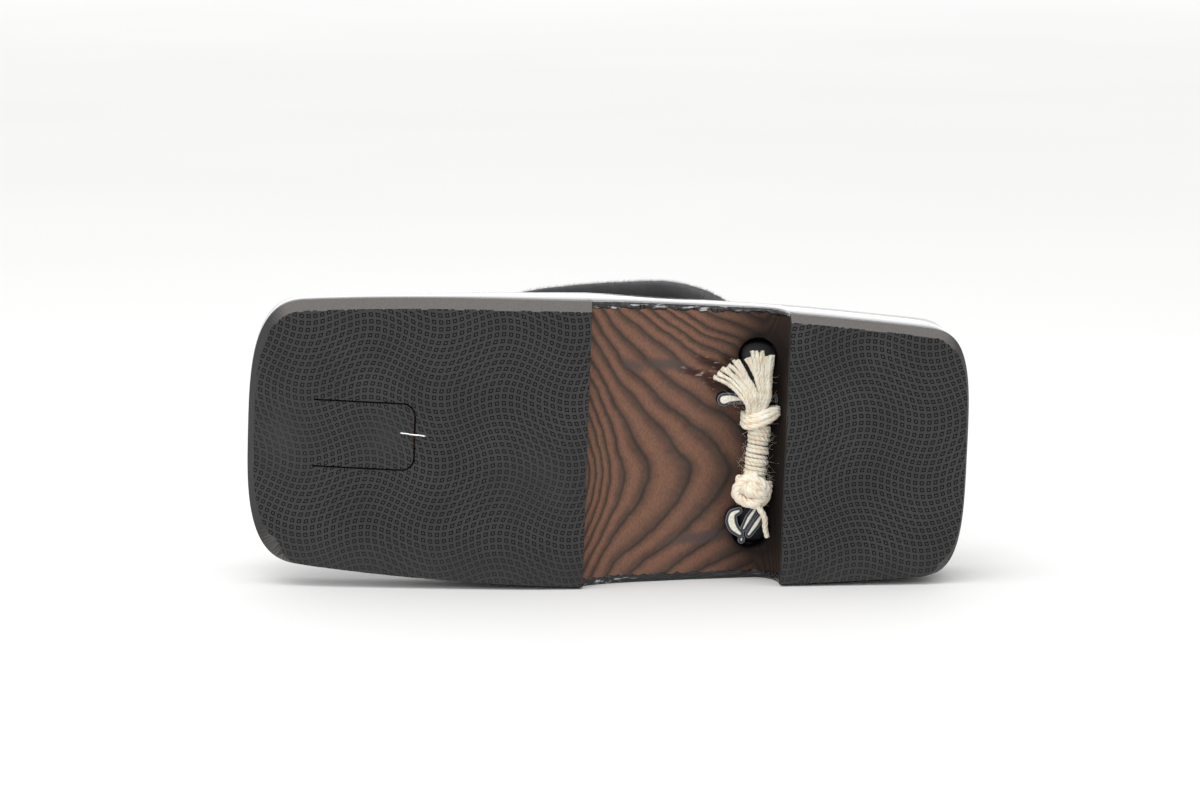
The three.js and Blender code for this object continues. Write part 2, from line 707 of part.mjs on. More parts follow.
// Assembly
const PIECES = [
  { name: "dai", material: MATERIALS.wood, body: baseGeometry() },
  { name: "front_sole", material: MATERIALS.rubber, body: frontSoleGeometry() },
  { name: "heel_sole", material: MATERIALS.rubber, body: solid(rubberSlab(aftStations, HEEL_TRIM)) },
  { name: "staple", material: MATERIALS.steel, body: stapleBody(0) },
  { name: "hanao", material: MATERIALS.velvet, body: strapGeometry() },
  { name: "toe_thong", material: MATERIALS.velvet, body: thongGeometry() },
  { name: "strap_end_left", material: MATERIALS.vinyl, body: leftEndGeometry() },
  { name: "strap_end_right", material: MATERIALS.vinyl, body: rightEndGeometry() },
  { name: "tie_wrap", material: MATERIALS.cotton, body: tieWrapGeometry() },
  { name: "tie_fray_toe", material: MATERIALS.cotton, body: solid(frayToeGeometry()) },
  { name: "tie_fray_heel", material: MATERIALS.cotton, body: solid(frayHeelGeometry()) },
  { name: "tie_tail", material: MATERIALS.cotton, body: solid(tieTailGeometry()) },
];

const sandal = new THREE.Group();
for (const { name, material, body } of PIECES) {
  const mesh = new THREE.Mesh(geometryOf(body), material);
  mesh.name = name;
  sandal.add(mesh);
}
sandal.rotation.x = -Math.PI / 2;

// Laid on its right side, the straight stretch of the sole's edge flat on the floor, centred over it
const lying = new THREE.Group();
lying.add(sandal);
lying.rotation.y = REST_TILT;
const extent = new THREE.Box3().setFromObject(lying, true);
const centre = extent.getCenter(new THREE.Vector3());
lying.position.set(-centre.x, -centre.y, -extent.min.z);

const geta = new THREE.Group();
geta.add(lying);

export default geta;
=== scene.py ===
"""A geta sandal lying on its right side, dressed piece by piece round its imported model.

Shapes are worked out upright, in millimetres, as a geta maker would hold the shoe: x runs from the
toe to the heel, y to the wearer's right, and z up from the ground. lay() turns a finished piece on
its side and puts it in the frame's metres.
"""

import math

import bmesh
import bpy
import numpy as np
from mathutils import Matrix, Vector


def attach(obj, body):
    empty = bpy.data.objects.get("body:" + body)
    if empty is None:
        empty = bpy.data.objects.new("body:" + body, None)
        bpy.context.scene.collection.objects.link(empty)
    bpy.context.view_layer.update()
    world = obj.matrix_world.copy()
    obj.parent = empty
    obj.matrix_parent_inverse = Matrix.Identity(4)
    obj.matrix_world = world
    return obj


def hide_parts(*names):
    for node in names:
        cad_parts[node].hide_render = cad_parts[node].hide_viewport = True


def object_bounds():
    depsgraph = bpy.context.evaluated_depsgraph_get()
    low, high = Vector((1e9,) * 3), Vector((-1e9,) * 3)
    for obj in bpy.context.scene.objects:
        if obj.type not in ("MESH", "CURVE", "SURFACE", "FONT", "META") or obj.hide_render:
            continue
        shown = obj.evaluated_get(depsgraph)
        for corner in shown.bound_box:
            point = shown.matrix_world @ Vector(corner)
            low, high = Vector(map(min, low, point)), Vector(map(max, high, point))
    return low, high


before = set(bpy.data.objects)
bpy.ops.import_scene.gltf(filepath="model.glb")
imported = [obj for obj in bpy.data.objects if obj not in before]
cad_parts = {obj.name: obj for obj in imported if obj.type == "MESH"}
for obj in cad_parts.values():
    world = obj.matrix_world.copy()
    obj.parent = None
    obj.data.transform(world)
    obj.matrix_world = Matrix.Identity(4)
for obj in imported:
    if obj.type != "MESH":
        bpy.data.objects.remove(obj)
cad_low, cad_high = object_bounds()

# The camera looks at the sole from a little above and a little to its toe side, from 1.5 m away.
view_yaw = math.radians(4.06)
view_pitch = math.radians(8.5)
view_distance = 1.5
aim = Vector((-0.00395, cad_low.y, 0.0706))
back = Vector(
    (
        -math.sin(view_yaw) * math.cos(view_pitch),
        -math.cos(view_yaw) * math.cos(view_pitch),
        math.sin(view_pitch),
    )
)
camera_data = bpy.data.cameras.new("camera")
camera_data.lens = 122.85
camera_data.sensor_width = 36
camera = bpy.data.objects.new("camera", camera_data)
camera.location = aim + back * view_distance
camera.rotation_mode = "QUATERNION"
camera.rotation_quaternion = (-back).to_track_quat("-Z", "Y")
bpy.context.scene.collection.objects.link(camera)
bpy.context.scene.camera = camera


# Materials are node trees. add() makes one node, with its settings, values and incoming links.
def add(tree, kind, values=(), **settings):
    node = tree.nodes.new(kind)
    for name, value in settings.items():
        setattr(node, name, value)
    for key, value in dict(values).items():
        if isinstance(value, bpy.types.NodeSocket):
            tree.links.new(value, node.inputs[key])
        else:
            node.inputs[key].default_value = value
    return node


def calc(tree, operation, *values, clamp=False):
    """The result of one sum on sockets or numbers."""
    node = add(tree, "ShaderNodeMath", enumerate(values), operation=operation, use_clamp=clamp)
    return node.outputs[0]


def times(tree, first, second, clamp=False):
    """The product of two sockets or numbers."""
    return calc(tree, "MULTIPLY", first, second, clamp=clamp)


def past(tree, value, start, gain, clamp=True):
    """How far a value is past a start, times a gain, and kept from 0 to 1 if clamped."""
    return times(tree, calc(tree, "SUBTRACT", value, start), gain, clamp=clamp)


def ramp(tree, value, stops):
    """Colours or greys along a value, from (place, colour) stops."""
    node = add(tree, "ShaderNodeValToRGB", {"Fac": value})
    while len(node.color_ramp.elements) < len(stops):
        node.color_ramp.elements.new(0.5)
    for element, (place, colour) in zip(node.color_ramp.elements, stops):
        element.position = place
        element.color = (*colour, 1) if isinstance(colour, tuple) else (colour, colour, colour, 1)
    return node.outputs["Color"]


def mixed(tree, share, first, second):
    """Two colours mixed by a share."""
    node = add(tree, "ShaderNodeMix", {"Factor": share}, data_type="RGBA")
    for key, value in ((6, first), (7, second)):
        if isinstance(value, bpy.types.NodeSocket):
            tree.links.new(value, node.inputs[key])
        else:
            node.inputs[key].default_value = (*value, 1)
    return node.outputs[2]


def noise(tree, scale, detail=2.0, stretch=(1, 1, 1), offset=(0, 0, 0)):
    """Noise in the piece's own place, finer along an axis with a larger stretch."""
    place = add(tree, "ShaderNodeTexCoord").outputs["Object"]
    turned = add(tree, "ShaderNodeMapping", {"Vector": place, "Scale": stretch, "Location": offset})
    values = {"Vector": turned.outputs[0], "Scale": scale, "Detail": detail}
    return add(tree, "ShaderNodeTexNoise", values).outputs["Fac"]


def attribute(tree, name):
    """A value that each point of the mesh keeps."""
    return add(tree, "ShaderNodeAttribute", attribute_name=name).outputs["Fac"]


def bumped(tree, height, depth, strength):
    """A normal that follows a height, whose full range is a depth in metres."""
    values = {"Height": height, "Distance": depth, "Strength": strength}
    return add(tree, "ShaderNodeBump", values).outputs[0]


def new_material(name, constants=()):
    """A material with one shader, and values that are the same all over."""
    material = bpy.data.materials.new(name)
    material.use_nodes = True
    tree = material.node_tree
    shader = tree.nodes["Principled BSDF"]
    for key, value in dict(constants).items():
        shader.inputs[key].default_value = value
    return material, tree, shader


def drive(tree, shader, values):
    """Links the values that vary to the shader's inputs."""
    for key, value in values.items():
        tree.links.new(value, shader.inputs[key])


# Studio: a pale floor, white surroundings, three soft lights above and in front, and a wide white
# light far behind, for the lacquered edge.
def studio_floor():
    mesh = bpy.data.meshes.new("studio_floor")
    reach = 30
    corners = [(-reach, -reach, 0), (reach, -reach, 0), (reach, reach, 0), (-reach, reach, 0)]
    mesh.from_pydata(corners, [], [(0, 1, 2, 3)])
    floor = bpy.data.objects.new("studio_floor", mesh)
    material, tree, shader = new_material("studio_paper", {"Roughness": 0.75})
    shade = ramp(tree, noise(tree, 2.0), [(0.3, (0.815, 0.812, 0.808)), (0.7, (0.835, 0.832, 0.828))])
    drive(tree, shader, {"Base Color": shade})
    mesh.materials.append(material)
    bpy.context.scene.collection.objects.link(floor)


def soft_light(name, place, aimed_at, width, height, watts):
    data = bpy.data.lights.new(name, "AREA")
    data.shape = "RECTANGLE"
    data.size = width
    data.size_y = height
    data.energy = watts
    light = bpy.data.objects.new(name, data)
    light.location = place
    light.rotation_mode = "QUATERNION"
    light.rotation_quaternion = (Vector(aimed_at) - Vector(place)).to_track_quat("-Z", "Y")
    bpy.context.scene.collection.objects.link(light)


studio_floor()
world = bpy.data.worlds.new("white_studio")
world.use_nodes = True
world.node_tree.nodes["Background"].inputs["Color"].default_value = (1, 1, 1, 1)
world.node_tree.nodes["Background"].inputs["Strength"].default_value = 0.97
bpy.context.scene.world = world
bpy.context.scene.view_settings.view_transform = "Standard"
soft_light("light_above", (-0.5, -0.5, 1.5), (0, 0, 0.05), 1.4, 1.0, 7)
soft_light("light_in_front", (-0.4, -1.8, 1.0), (0, 0, 0.05), 1.2, 0.8, 5)
soft_light("light_strip", (0.1, -0.35, 1.2), (0.02, 0, 0.1), 0.9, 0.06, 2)
soft_light("light_behind", (0, 7.0, 1.7), (0, 0, 0.15), 9.0, 3.0, 72)

# Wooden base: one block of cedar, charred and brushed underneath so that its rings stand out, with
# black lacquer on its sides and top. It is hollowed across under the arch and bored for the strap.
sole_length = 266
toe_width = 95
ball_width = 106.4
waist_width = 101.1
back_width = 90.5
toe_rounding, toe_squareness = 22, 3.1
heel_rounding, heel_squareness = 19, 3.6
wood_at_heel = 31.5
toe_spring = 16
spring_length = 108
arch_start, arch_length, arch_rise = 124.5, 73.5, 13
cove_length = 8.5
rubber_thickness = 6
top_edge_radius = 2
lower_edge_radius = 0.8
thong_hole_at, thong_hole = 43, 12
knot_pocket, knot_pocket_depth = 23, 7.5
rear_hole, rear_hole_side = 14.5, 32.5
arch_end = arch_start + arch_length
cove_start = arch_end - cove_length
rear_hole_at = arch_end - 10
rest_slope = (ball_width - waist_width) / 2 / arch_length
rest_tilt = math.atan(rest_slope)
# Where the toe's middle lies on the ground plane, in the frame, in millimetres.
toe_place = (-132.94, cad_low.y * 1000, 57.65)

LYING = (
    Matrix.Scale(0.001, 4)
    @ Matrix.Translation(toe_place)
    @ Matrix.Rotation(rest_tilt, 4, "Y")
    @ Matrix.Rotation(-math.pi / 2, 4, "X")
)


def lay(points):
    """Upright places in millimetres, laid on their side in the frame's metres."""
    turn = np.array(LYING)
    return np.asarray(points, float) @ turn[:3, :3].T + turn[:3, 3]


def side_half(x):
    x = np.asarray(x, float)
    line = ball_width / 2 - (x - arch_start) * rest_slope
    fore = np.clip((arch_start - x) / arch_start, 0, 1)
    front = (ball_width - (ball_width - toe_width) * fore**2.4) / 2
    aft = np.clip((x - arch_end) / (sole_length - arch_end), 0, 1)
    line_at_back = waist_width / 2 - (sole_length - arch_end) * rest_slope
    rear = line - (line_at_back - back_width / 2) * aft**1.3
    return np.where(x < arch_start, front, np.where(x <= arch_end, line, rear))


def rounded_end(distance, depth, squareness):
    inward = np.clip(1 - np.asarray(distance, float) / depth, 0, 1)
    return (1 - inward**squareness) ** (1 / squareness)


def half_width(x):
    toe = rounded_end(x, toe_rounding, toe_squareness)
    heel = rounded_end(sole_length - np.asarray(x, float), heel_rounding, heel_squareness)
    return side_half(x) * toe * heel


def end_stations(depth, squareness, count):
    turn = (np.arange(count) + 0.6) / (count - 0.4) * (math.pi / 2)
    return depth * (1 - np.cos(turn) ** (2 / squareness))


def outline(x, side, inset):
    """Outline points, moved square to the edge by an inset."""
    step = 0.01
    low, high = np.maximum(x - step, 0), np.minimum(x + step, sole_length)
    slope = (half_width(high) - half_width(low)) / (high - low)
    length = np.hypot(1, slope)
    along, across = -slope / length, 1 / length
    inward = inset(across, side) if callable(inset) else inset
    return x - inward * along, side * (half_width(x) - inward * across)


def smooth_table(at, value, x):
    """Values eased between a table's rows."""
    at, value, x = np.array(at), np.array(value), np.asarray(x, float)
    slope = np.gradient(value, at)
    k = np.clip(np.searchsorted(at, x, side="right") - 1, 0, len(at) - 2)
    run = at[k + 1] - at[k]
    t = np.clip((x - at[k]) / run, 0, 1)
    return (
        value[k] * (2 * t**3 - 3 * t**2 + 1)
        + slope[k] * run * (t**3 - 2 * t**2 + t)
        + value[k + 1] * (3 * t**2 - 2 * t**3)
        + slope[k + 1] * run * (t**3 - t**2)
    )


def spring_height(x):
    return toe_spring * np.clip((spring_length - np.asarray(x, float)) / spring_length, 0, 1) ** 1.25


def arch_height(x):
    """Rise of the hollow arch, which ends in a steep cove against the heel."""
    x = np.asarray(x, float)
    cove_share = 0.885
    share = np.clip((x - arch_start) / (cove_start - arch_start), 0, 1) * cove_share
    rows = [0, 0.17, 0.27, 0.42, 0.55, 0.7, 0.8, cove_share]
    rises = [0, 0.38, 0.5, 0.65, 0.77, 0.88, 0.95, 1]
    slow = smooth_table(rows, rises, share)
    into = np.clip((x - cove_start) / cove_length, 0, 1)
    cove = np.sqrt(1 - into**2)
    inside = (x > arch_start) & (x < arch_end)
    return arch_rise * np.where(inside, np.where(x > cove_start, cove, slow), 0)


def wood_under(x):
    return spring_height(x) + rubber_thickness + arch_height(x)


def wood_top(x):
    rows = [0, 0.11, 0.245, 0.376, 0.47, 0.565, 0.75, 1]
    shares = [0.4, 0.42, 0.47, 0.75, 0.89, 0.91, 0.93, 1]
    thick = smooth_table(rows, shares, np.asarray(x, float) / sole_length)
    return spring_height(x) + rubber_thickness + wood_at_heel * thick


def round_turns(sides):
    """Even angles all the way round."""
    return np.arange(sides) / sides * 2 * math.pi


def ring_faces(rings, sides, start=0):
    """Faces between rings of points that follow one another."""
    faces = []
    for k in range(rings - 1):
        for i in range(sides):
            j = (i + 1) % sides
            a, b = start + k * sides, start + (k + 1) * sides
            faces.append((a + i, a + j, b + j, b + i))
    return faces


def tube_faces(rings, sides, start=0):
    """Faces of a closed tube with flat ends, from rings of points."""
    faces = ring_faces(rings, sides, start)
    faces.append(tuple(start + i for i in range(sides))[::-1])
    faces.append(tuple(start + (rings - 1) * sides + i for i in range(sides)))
    return faces


def slab(stations, levels, across, under=None):
    """Points and faces of the sole's outline through levels of (inset, height function). Its two
    faces are grids, and under() moves the points of the lower one."""
    stations = np.asarray(stations, float)
    count, inside = len(stations), across - 1
    share = np.linspace(0, 1, across + 1)[1:-1][:, None]
    rings = []
    for inset, height in levels:
        right = np.stack([*outline(stations, 1, inset), height(stations)], 1)
        left = np.stack([*outline(stations, -1, inset), height(stations)], 1)
        heel_end = right[-1] * (1 - share) + left[-1] * share
        toe_end = left[0] * (1 - share) + right[0] * share
        rings.append(np.concatenate([right, heel_end, left[::-1], toe_end]))
    loop = 2 * count + 2 * inside
    points = list(rings)
    faces = ring_faces(len(levels), loop)
    start = len(levels) * loop
    for level in (0, len(levels) - 1):
        first = level * loop
        right, left = rings[level][1 : count - 1], rings[level][count + inside :][1 : count - 1][::-1]
        inner = right[:, None] * (1 - share) + left[:, None] * share
        inner[..., 2] = levels[level][1](inner[..., 0])
        if under is not None and level == 0:
            inner[..., 2] += under(inner[..., 0], inner[..., 1])
        points.append(inner.reshape(-1, 3))

        def index(i, j, first=first, start=start):
            if j == 0:
                return first + i
            if j == across:
                return first + 2 * count + inside - 1 - i
            if i == 0:
                return first + 2 * count + 2 * inside - j
            if i == count - 1:
                return first + count + j - 1
            return start + (i - 1) * inside + j - 1

        for i in range(count - 1):
            for j in range(across):
                quad = (index(i, j), index(i, j + 1), index(i + 1, j + 1), index(i + 1, j))
                faces.append(quad if level == 0 else quad[::-1])
        start += (count - 2) * inside
    return np.concatenate(points), faces


def new_piece(name, points, faces, smooth=True):
    """A mesh object from points that are already laid down."""
    mesh = bpy.data.meshes.new(name)
    mesh.from_pydata([tuple(p) for p in points], [], faces)
    mesh.validate()
    if smooth:
        mesh.shade_smooth()
    piece = bpy.data.objects.new(name, mesh)
    bpy.context.scene.collection.objects.link(piece)
    return piece


def outward(piece):
    """Turns every face of a closed piece outwards."""
    work = bmesh.new()
    work.from_mesh(piece.data)
    bmesh.ops.recalc_face_normals(work, faces=work.faces)
    work.to_mesh(piece.data)
    work.free()


def plain_mesh(piece):
    """Applies a piece's modifiers and keeps it as a plain mesh."""
    graph = bpy.context.evaluated_depsgraph_get()
    mesh = bpy.data.meshes.new_from_object(piece.evaluated_get(graph), depsgraph=graph)
    mesh.name = piece.name
    if piece.type == "MESH":
        piece.modifiers.clear()
        piece.data = mesh
        return piece
    plain = bpy.data.objects.new(piece.name + "_mesh", mesh)
    bpy.context.scene.collection.objects.link(plain)
    bpy.data.objects.remove(piece)
    return plain


def cut(piece, cutter):
    """Takes a closed cutter out of a closed piece."""
    modifier = piece.modifiers.new("cut", "BOOLEAN")
    modifier.object = cutter
    modifier.operation = "DIFFERENCE"
    modifier.solver = "MANIFOLD"
    plain_mesh(piece)
    bpy.data.objects.remove(cutter)
    return piece


def pin(name, x, y, diameter, low, high):
    """An upright round pin, for boring a hole."""
    sides = 64
    turn = round_turns(sides)
    ring = np.stack([x + diameter / 2 * np.cos(turn), y + diameter / 2 * np.sin(turn)], 1)
    points = [(*p, low) for p in ring] + [(*p, high) for p in ring]
    return new_piece(name, points, tube_faces(2, sides))


def places_of(mesh):
    """The x, y and z of a mesh's points."""
    places = np.empty(len(mesh.vertices) * 3)
    mesh.vertices.foreach_get("co", places)
    return places.reshape(-1, 3).T


def keep(mesh, name, values):
    """Keeps a value on each point, for a material to read."""
    layer = mesh.attributes.new(name, "FLOAT", "POINT")
    layer.data.foreach_set("value", values)


def settle(mesh, x, y, z):
    """Moves a mesh's points to upright places, laid down in the frame."""
    mesh.vertices.foreach_set("co", lay(np.stack([x, y, z], 1)).ravel())
    mesh.update()


# Each growth ring is a shallow V that opens downwards, so it meets the rising arch as a pointed
# tongue. Rings are counted by their height over the ground on the line where they peak.
peak_side, peak_slope, peak_curve = 12, 0.105, 0.0016
ring_heights = [
    -14, -11, -8.5, -6, -4, -2, 0, 1.6, 3, 4.3, 5.4, 6.5, 7.6, 8.8, 10, 11.6, 13.4, 15.7, 17.7,
    19.9, 22.1, 23.6, 24.7, 25.9, 26.8, 28.3, 29.9, 31.4, 33, 35, 37, 39, 41, 43.5, 46, 49,
]


def ring_count(x, y, z):
    """The number of the growth ring at a place, with its fraction."""
    across = y - peak_side
    wander = 0.15 * np.sin(x / 7.3 + y / 19) + 0.14 * np.sin(y / 6.1 - x / 23)
    wander += 0.07 * np.sin(x / 3.1 + y / 4.7) + 0.05 * np.sin(y / 2.3 + 1.3)
    fall = np.sqrt(0.25 + (peak_slope * across) ** 2) - 0.5 + peak_curve * across**2
    height = z + fall + wander
    return np.interp(height, ring_heights, np.arange(len(ring_heights)))


def brushed_relief(x, y):
    """Late wood stands a little proud of the early wood that the brush took away."""
    share = ring_count(x, y, wood_under(x)) % 1
    ridge = np.exp(-((np.minimum(share, 1 - share) / 0.09) ** 2))
    wave = 0.05 * np.sin(y / 1.3 + 3 * np.sin(x / 5)) * np.sin(x / 2.1)
    inside = np.clip((x - arch_start - 0.5) / 2, 0, 1) * np.clip((arch_end - 0.5 - x) / 2, 0, 1)
    return -(0.16 * ridge + wave) * inside


def base_piece():
    end_steps, spring_steps, arch_steps, cove_steps, heel_steps, steps_across = 26, 36, 110, 15, 16, 150
    toe = end_stations(toe_rounding, toe_squareness, end_steps)
    heel = sole_length - end_stations(heel_rounding, heel_squareness, end_steps)[::-1]
    stations = np.concatenate(
        [
            toe,
            np.linspace(toe_rounding, arch_start, spring_steps)[1:],
            np.linspace(arch_start, cove_start, arch_steps)[1:],
            cove_start + cove_length * np.sin(np.linspace(0, math.pi / 2, cove_steps))[1:],
            np.linspace(arch_end, heel[0], heel_steps)[1:-1],
            heel,
        ]
    )
    levels = [
        (lower_edge_radius, wood_under),
        (lower_edge_radius * 0.3, lambda x: wood_under(x) + lower_edge_radius * 0.3),
        (0, lambda x: wood_under(x) + lower_edge_radius),
        (0, lambda x: wood_under(x) * 0.5 + wood_top(x) * 0.5),
    ]
    for turn in np.linspace(0, math.pi / 2, 6):
        inset = top_edge_radius * (1 - math.cos(turn))
        drop = top_edge_radius * (1 - math.sin(turn))
        levels.append((inset, lambda x, drop=drop: wood_top(x) - drop))
    points, faces = slab(stations, levels, steps_across, under=brushed_relief)
    base = new_piece("burnt_base", points, faces)
    outward(base)
    below, above = -2, wood_top(sole_length) + 2
    pocket_top = wood_under(thong_hole_at) + knot_pocket_depth
    cut(base, pin("front_bore", thong_hole_at, 0, thong_hole, below, above))
    cut(base, pin("knot_pocket_bore", thong_hole_at, 0, knot_pocket, below, pocket_top))
    for side in (-1, 1):
        cut(base, pin("rear_bore", rear_hole_at, side * rear_hole_side, rear_hole, below, above))
    return base


def char_and_shade_share(x, y):
    """How dark the wood is made: partly its char, partly painted shade in the cove towards the heel, round
    the rear holes and behind the tie.
    """
    heel_dark_start, heel_dark_run, hole_dark_reach = 160, 32, 2.2
    near_heel = np.clip((x - heel_dark_start) / heel_dark_run, 0, 1) ** 1.5
    near_hole = np.zeros_like(x)
    for side in (-1, 1):
        away = np.hypot(x - rear_hole_at, y - side * rear_hole_side) - rear_hole / 2
        near_hole = np.maximum(near_hole, np.exp(-np.clip(away, 0, None) / hole_dark_reach))
    tie_x, tie_y, tie_wide, tie_half, tie_fade = 191.5, 4, 4.5, 30, 12
    along_tie = np.clip((tie_half - np.abs(y - tie_y)) / tie_fade, 0, 1)
    behind_tie = np.exp(-(((x - tie_x) / tie_wide) ** 2)) * along_tie
    return np.clip(0.85 * near_heel + 0.5 * near_hole + 0.95 * behind_tie, 0, 0.97)


# Long patches under the arch, torn or grey: middle, half length, half width and turn.
torn_patches = (
    (164.5, -26.5, 6.0, 1.5, 0.25),
    (171.5, -29.5, 6.5, 1.9, 0.35),
    (170.5, -23.5, 4.5, 2.2, 0.9),
    (178.5, -30.5, 4.5, 1.7, 0.5),
)
grey_patches = (
    (141.5, -29, 4.5, 1.8, 0.35),
    (153.5, -29.5, 7.5, 2.0, 0.1),
    (168.5, 35.6, 12.5, 2.1, -0.12),
)


def patched(x, y, patches):
    """How much each place lies in one of the patches, from 0 to 1."""
    share = np.zeros_like(x)
    for middle_x, middle_y, long, wide, turn in patches:
        u = (x - middle_x) * math.cos(turn) + (y - middle_y) * math.sin(turn)
        v = (y - middle_y) * math.cos(turn) - (x - middle_x) * math.sin(turn)
        share = np.maximum(share, np.exp(-((u / long) ** 4) - (v / wide) ** 4))
    return share


def mark_base(base):
    """Keeps on each point its growth ring, its way in from the edge, its char and painted shade, its wear,
    and where the lacquer's edge gets painted glints.
    """
    mesh = base.data
    x, y, z = places_of(mesh)
    depth_in = half_width(x) - np.abs(y)
    is_left = y < 0
    under_band, hole_margin, patch_depth, patch_fade, deepest_rim = 0.35, 0.4, 1.5, 0.5, 30
    is_under = z < wood_under(x) + under_band
    near_under = np.clip((wood_under(x) + patch_depth - z) / patch_fade, 0, 1)
    in_hole = np.zeros(len(x), bool)
    for hole_x, hole_y, size in (
        (rear_hole_at, rear_hole_side, rear_hole),
        (rear_hole_at, -rear_hole_side, rear_hole),
        (thong_hole_at, 0, thong_hole),
    ):
        near = np.hypot(x - hole_x, y - hole_y) < size / 2 + 0.05
        in_hole |= near & (z > wood_under(x) + hole_margin) & (z < wood_top(x) - hole_margin)
    # Where along each edge the lacquer gets painted glints, standing in for reflections of light.
    glints_left = np.interp(x, [arch_start, 129, 172, 186], [0, 0.85, 0.7, 0])
    glints_right = np.interp(x, [arch_start, 127, 140, 150], [0, 0.7, 0.6, 0])
    values = {
        "ring": ring_count(x, y, z),
        "rim": np.where(is_under | in_hole, np.clip(depth_in, 0, deepest_rim), 0.0),
        # Inside the holes the wood is made fully dark: painted shade.
        "char": np.where(in_hole, 1.0, char_and_shade_share(x, y)),
        "torn": patched(x, y, torn_patches) * near_under,
        "grey": patched(x, y, grey_patches) * near_under,
        "upper_side": is_left.astype(float),
        "lacquer": np.where(is_left, np.interp(x, [arch_start, arch_end], [2.4, 1.4]), 2.8),
        "worn": np.where(is_left, glints_left, glints_right),
    }
    for name, value in values.items():
        keep(mesh, name, value)
    settle(mesh, x, y, z)


def burnt_cedar():
    material, tree, shader = new_material(
        "burnt_cedar", {"Specular IOR Level": 0.22, "Coat Roughness": 0.07, "Coat IOR": 1.5}
    )
    wobble = past(tree, noise(tree, 420, 3), 0.5, 0.16, clamp=False)
    share = calc(tree, "FRACT", calc(tree, "ADD", attribute(tree, "ring"), wobble))
    fine = noise(tree, 1.0, 3, stretch=(5200, 5200, 900))
    threads = past(tree, fine, 0.42, 4.0)
    patches = noise(tree, 95, 3)
    wood = ramp(
        tree,
        share,
        [
            (0.0, (0.026, 0.021, 0.018)),
            (0.09, (0.036, 0.027, 0.022)),
            (0.20, (0.130, 0.066, 0.043)),
            (0.42, (0.235, 0.112, 0.070)),
            (0.66, (0.205, 0.098, 0.062)),
            (0.88, (0.088, 0.048, 0.034)),
            (1.0, (0.026, 0.021, 0.018)),
        ],
    )
    dusty = mixed(tree, times(tree, patches, 0.42), wood, (0.140, 0.096, 0.074))
    streaked = mixed(tree, times(tree, threads, 0.5), dusty, (0.050, 0.030, 0.021))
    # Where the surface tore, it is dark and reddish, with a few pale slivers, which are painted glints.
    torn = attribute(tree, "torn")
    slivers_and_glints = noise(tree, 1.0, 2, stretch=(220, 900, 900))
    torn_red_and_glints = ramp(
        tree,
        slivers_and_glints,
        [(0.40, (0.024, 0.010, 0.008)), (0.60, (0.060, 0.020, 0.014)), (0.70, (0.42, 0.34, 0.30))],
    )
    red = mixed(tree, times(tree, torn, 0.85), streaked, torn_red_and_glints)
    greyed = mixed(tree, times(tree, attribute(tree, "grey"), 0.8), red, (0.075, 0.058, 0.055))
    # This darkening is partly char and partly painted shade in the cove, round the holes and behind the
    # tie.
    charred_and_shaded = mixed(tree, attribute(tree, "char"), greyed, (0.009, 0.006, 0.005))
    # Lacquer runs over the arch's edge in drips.
    drips = noise(tree, 1.0, 2, stretch=(330, 30, 30))
    rim = attribute(tree, "rim")
    reach = calc(tree, "ADD", attribute(tree, "lacquer"), past(tree, drips, 0.5, 3.2, clamp=False))
    inside = past(tree, rim, reach, 3.0)
    # Along the edge the lacquer has pale streaks: painted glints, standing in for light mirrored by its
    # wavy edge.
    streaks = noise(tree, 1.0, 2, stretch=(130, 900, 900))
    on_band = times(tree, rim, 6.0, clamp=True)
    worn = times(tree, past(tree, streaks, 0.57, 12.0), on_band)
    worn = times(tree, worn, attribute(tree, "worn"))
    lacquer = mixed(tree, worn, (0.0035, 0.0035, 0.004), (0.50, 0.50, 0.51))
    line = ramp(tree, share, [(0, 1.0), (0.12, 0.25), (0.5, 0.0), (0.88, 0.3), (1, 1.0)])
    grain = calc(tree, "ADD", times(tree, line, 0.7), times(tree, fine, 0.5))
    streaks = times(tree, streaks, on_band)
    gloss_height = calc(tree, "MULTIPLY_ADD", streaks, 7.0, times(tree, drips, 0.35))
    # The lacquer is rounded off in scallops along the upper edge.
    scallops = noise(tree, 1.0, 1, stretch=(360, 30, 30), offset=(3, 0, 0))
    round_off = times(tree, past(tree, scallops, 0.40, 14.0), attribute(tree, "upper_side"))
    near_edge = times(tree, calc(tree, "DIVIDE", rim, 1.3, clamp=True), 4.2)
    gloss_height = calc(tree, "MULTIPLY_ADD", near_edge, round_off, gloss_height)
    heights = {0: inside, 2: gloss_height, 3: grain}
    height = add(tree, "ShaderNodeMix", heights, data_type="FLOAT").outputs[0]
    relief = bumped(tree, height, 0.0002, 0.8)
    wood_rough = calc(tree, "MULTIPLY_ADD", fine, 0.3, 0.5)
    bare_share = calc(tree, "SUBTRACT", 1.0, inside)
    values = {
        "Base Color": mixed(tree, inside, lacquer, charred_and_shaded),
        "Roughness": calc(tree, "MULTIPLY_ADD", inside, wood_rough, 0.12),
        "Coat Weight": times(tree, bare_share, 0.7),
        "Normal": relief,
        "Coat Normal": relief,
    }
    drive(tree, shader, values)
    return material


base = base_piece()
mark_base(base)
base.data.materials.clear()
base.data.materials.append(burnt_cedar())
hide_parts("dai")
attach(base, "root")


# Rubber soles: sheets of sponge rubber with a moulded lattice of small square pits, each with a pip
# in its middle. They are glued on, and their sides are trimmed with a knife, which bares the paler
# sponge.
pit_pitch = 2.545
pit_wide, pip_wide = 1.62, 0.74
pit_deep = 0.42
seam_gap = 0.3


